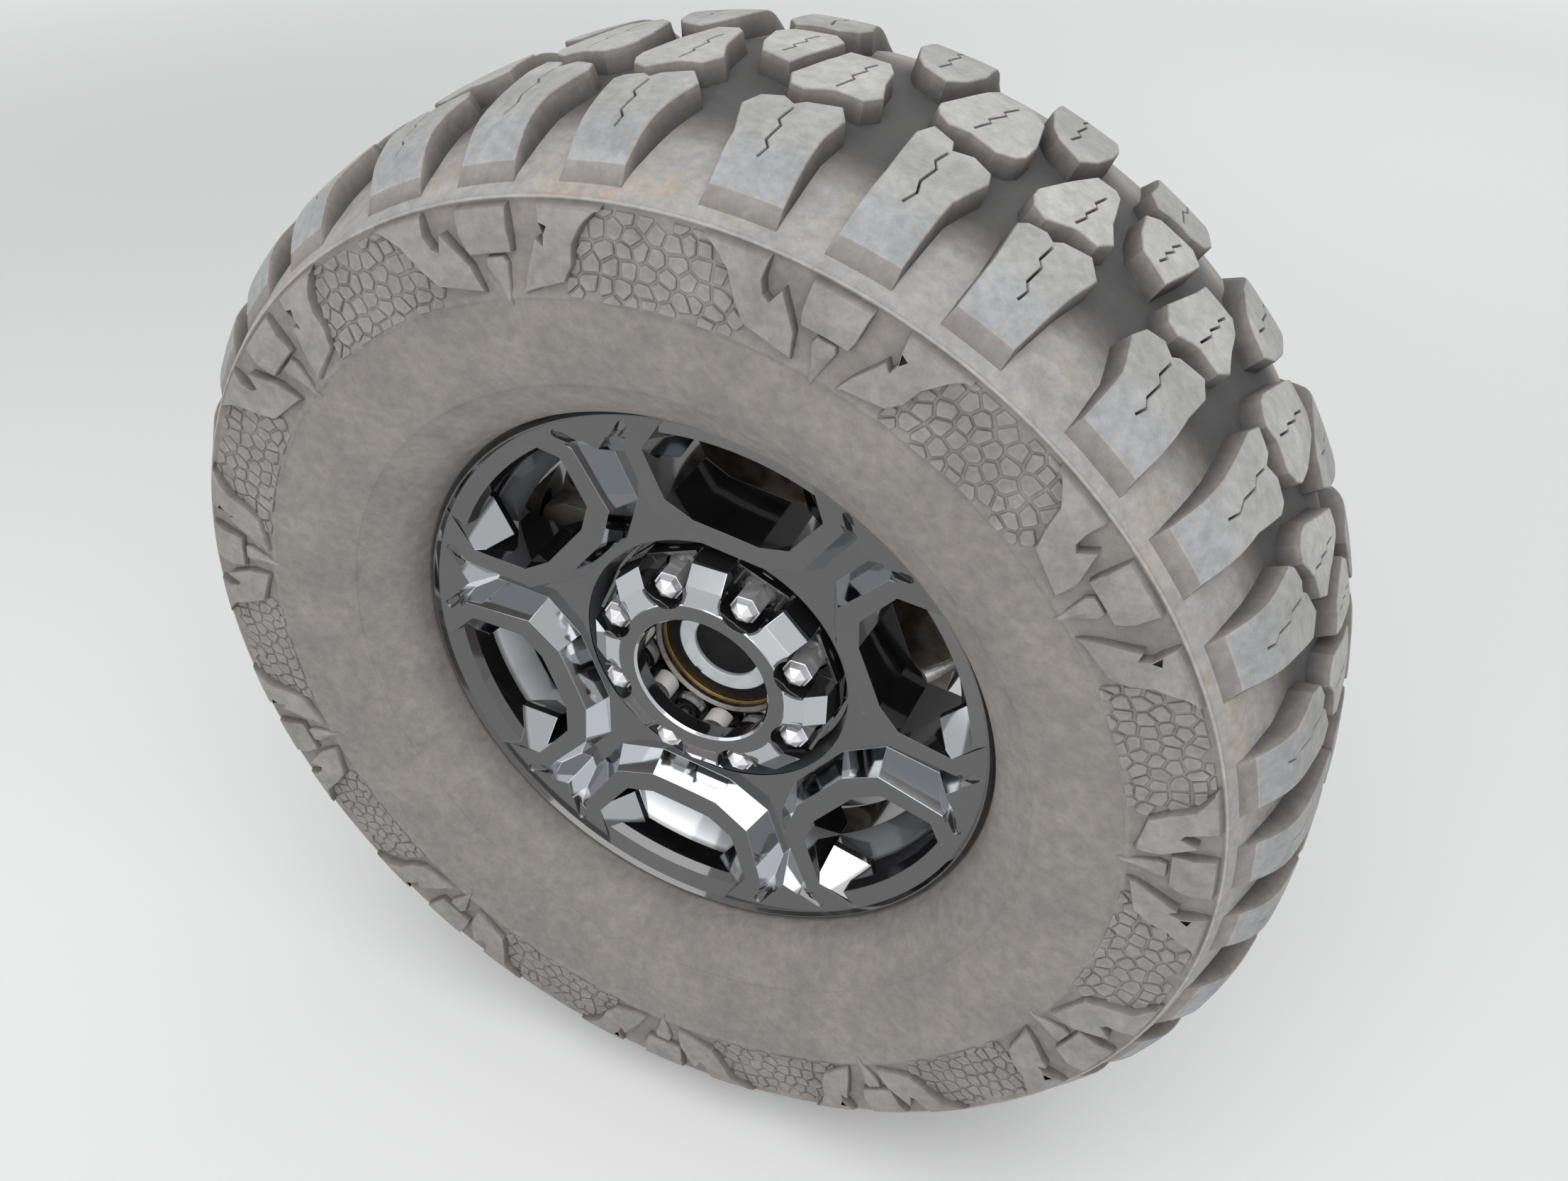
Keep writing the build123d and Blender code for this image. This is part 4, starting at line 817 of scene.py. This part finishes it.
def makeLugs():
    pile = MeshPile()
    for name, outline in lugShapes.items():
        flat, levels, faces = planForm(outline, lugValues, cuts=[sipeLines[name]])
        for pitch in pitches:
            centre = stationAngle(pitch, lugPlaces[name])
            across = flat[:, 1]
            angle = centre - np.degrees(flat[:, 0] * pitch[1] / tyreValues["crownRadius"])
            top, ground = topRadius(across), groundRadius(across) - lugValues["footSink"]
            radius = np.choose(levels, [top, top - lugValues["edgeDrop"], ground])
            end = (levels == 2) & (np.abs(across) > lugValues["endFrom"])
            foot = np.where(end, np.sign(across) * lugValues["endFoot"], across)
            radius = np.where(end, lugValues["endRadius"], radius)
            lugTopTone = np.interp(np.abs(across), *lugValues["topTones"])
            under = np.where(end, lugValues["endTone"], lugValues["paintedFootShade"])
            # Walls shade from the edge tone to the dark foot tone, painted shade where the lugs meet the
            # ground
            tones = np.choose(levels, [lugTopTone, np.full(len(lugTopTone), lugValues["edgeTone"]), under])
            pile.add(turnedPoint(angle, radius, foot), faces, tones)
    return pile.make("tyreLugs", dustyRubber, lugValues["smoothAngle"])


casing = makeCasing()
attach(casing, "wheel")
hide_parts("tyre")
lugs = makeLugs()
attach(lugs, "wheel")
print("tyre tread ready")


def wallPoint(angle, radius, rise, half=1):  # a point lifted off the sidewall; half is -1 inboard
    delta = 1.0
    slope = (wallAcross(radius + delta) - wallAcross(radius - delta)) / (2 * delta)
    length = np.sqrt(1 + slope**2)
    return turnedPoint(angle, radius - slope / length * rise, half * (wallAcross(radius) + rise / length))


def clipCell(cell, place, away):  # the part of a convex loop that lies behind a line
    cut = []
    for a, b in zip(cell, cell[1:] + cell[:1]):
        da, db = np.dot(a - place, away), np.dot(b - place, away)
        if da <= 0:
            cut.append(a)
        if (da < 0) != (db < 0) and abs(da - db) > 1e-9:
            cut.append(a + (b - a) * da / (da - db))
    return cut


def stoneCells(values):  # uneven stones that fill the patch, as loops in millimetres from the patch centre
    rng = np.random.default_rng(values["seed"])
    spacing = values["spacing"]
    shiftX, shiftY = values["shift"]
    edge = np.array([(math.radians(a) * r, r) for a, r in patchShape])
    low, high = edge.min(0), edge.max(0)
    seeds = []
    for row, y in enumerate(np.arange(low[1] - spacing, high[1] + spacing, spacing * values["rowShare"])):
        for x in np.arange(low[0] - spacing, high[0] + spacing, spacing):
            across = x + (row % 2) * spacing / 2 + rng.uniform(-shiftX, shiftX)
            seeds.append((across, y + rng.uniform(-shiftY, shiftY)))
    seeds = np.array(seeds)
    cells = []
    for own in seeds:
        reach = spacing * values["firstReach"]
        cell = [own + np.array(c) * reach for c in ((-1, -1), (1, -1), (1, 1), (-1, 1))]
        near = np.argsort(np.linalg.norm(seeds - own, axis=1))[1 : values["neighbours"] + 1]
        planes = [((seeds[k] + own) / 2, seeds[k] - own) for k in near]
        planes += [(a, (b - a)[::-1] * (1, -1)) for a, b in zip(edge, np.roll(edge, -1, axis=0))]
        for place, away in planes:
            cell = clipCell(cell, place, away)
            if len(cell) < 3:
                break
        if len(cell) < 3:
            continue
        loop = np.array(cell)
        loop = loop[np.linalg.norm(loop - np.roll(loop, 1, axis=0), axis=1) > values["leastSide"]]
        if len(loop) >= 3 and loopArea(loop) > values["leastArea"]:
            cells.append(loop)
    return cells


def stoneForm(cell, lift, values):  # one stone: rings drawn in towards its middle, closed by a flat top
    middle, count = cell.mean(0), len(cell)
    sides = [(a, b - a) for a, b in zip(cell, np.roll(cell, -1, axis=0))]
    gaps = [abs(d[0] * (middle - a)[1] - d[1] * (middle - a)[0]) / np.linalg.norm(d) for a, d in sides]
    half = max(min(gaps), values["leastHalf"])
    flat, rises, tones, faces = [], [], [], []
    for inset, rise, tone in values["rings"]:
        flat.append(middle + (cell - middle) * (1 - inset / half))
        rises += [rise * lift if rise > 0 else rise] * count
        tones += [tone] * count
    last = count * (len(flat) - 1)
    for low in range(0, last, count):
        for i in range(count):
            j = (i + 1) % count
            faces.append((low + i, low + j, low + count + j, low + count + i))
    faces.append(tuple(range(last, last + count)))
    return np.vstack(flat), np.array(rises), faces, np.array(tones)


def edgeDistance(points, loop):  # distance from each point to the loop
    nearest = np.full(len(points), 1e9)
    for a, b in zip(loop, np.roll(loop, -1, axis=0)):
        along = np.clip(np.sum((points - a) * (b - a), axis=1) / max(np.sum((b - a) ** 2), 1e-9), 0, 1)
        nearest = np.minimum(nearest, np.linalg.norm(points - a - along[:, None] * (b - a), axis=1))
    return nearest


def makeWallRelief():
    values = reliefValues
    flatRadius = values["flatRadius"]
    pile = MeshPile()
    places = [(half, pitch) for half in (1, -1) for pitch in pitches]
    for name, outline in wallShapes.items():
        loop = np.array([(math.radians(a) * flatRadius, r) for a, r in outline])
        crease = [(math.radians(a) * flatRadius, r) for a, r in wallCreases[name]]
        flat, levels, faces = planForm(loop, values, creases=[crease])
        degrees, radius = np.degrees(flat[:, 0] / flatRadius), flat[:, 1]
        rise = np.interp(radius, *np.array(wallRises[name]).T)
        if name == "thorn":
            inward = np.clip(edgeDistance(flat, loop) / values["thornHalf"], 0, 1)
            rise = rise + values["thornCrest"] * inward
        rise = np.choose(levels, [rise, rise - values["edgeDrop"], np.full(len(rise), -values["footSink"])])
        tones = np.choose(levels, values["tones"])
        for half, pitch in places:
            start = pitch[0] if degrees.mean() > 0 else pitch[2]
            pile.add(wallPoint(start - degrees * pitch[1], radius, rise, half), faces, tones, flip=half < 0)
    cells = stoneCells(stoneValues)
    lifts = np.random.default_rng(stoneValues["liftSeed"]).uniform(*stoneValues["lifts"], len(cells))
    stones = [stoneForm(cell, lift, stoneValues) for cell, lift in zip(cells, lifts)]
    for half, pitch in places:
        for flat, rise, faces, tones in stones:
            angle = pitch[0] - np.degrees(flat[:, 0] / flat[:, 1]) * pitch[1]
            pile.add(wallPoint(angle, flat[:, 1], rise, half), faces, tones, flip=half < 0)
    return pile.make("tyreWallRelief", dustyRubber, values["smoothAngle"])


relief = makeWallRelief()
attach(relief, "wheel")
print("tyre sidewall ready")
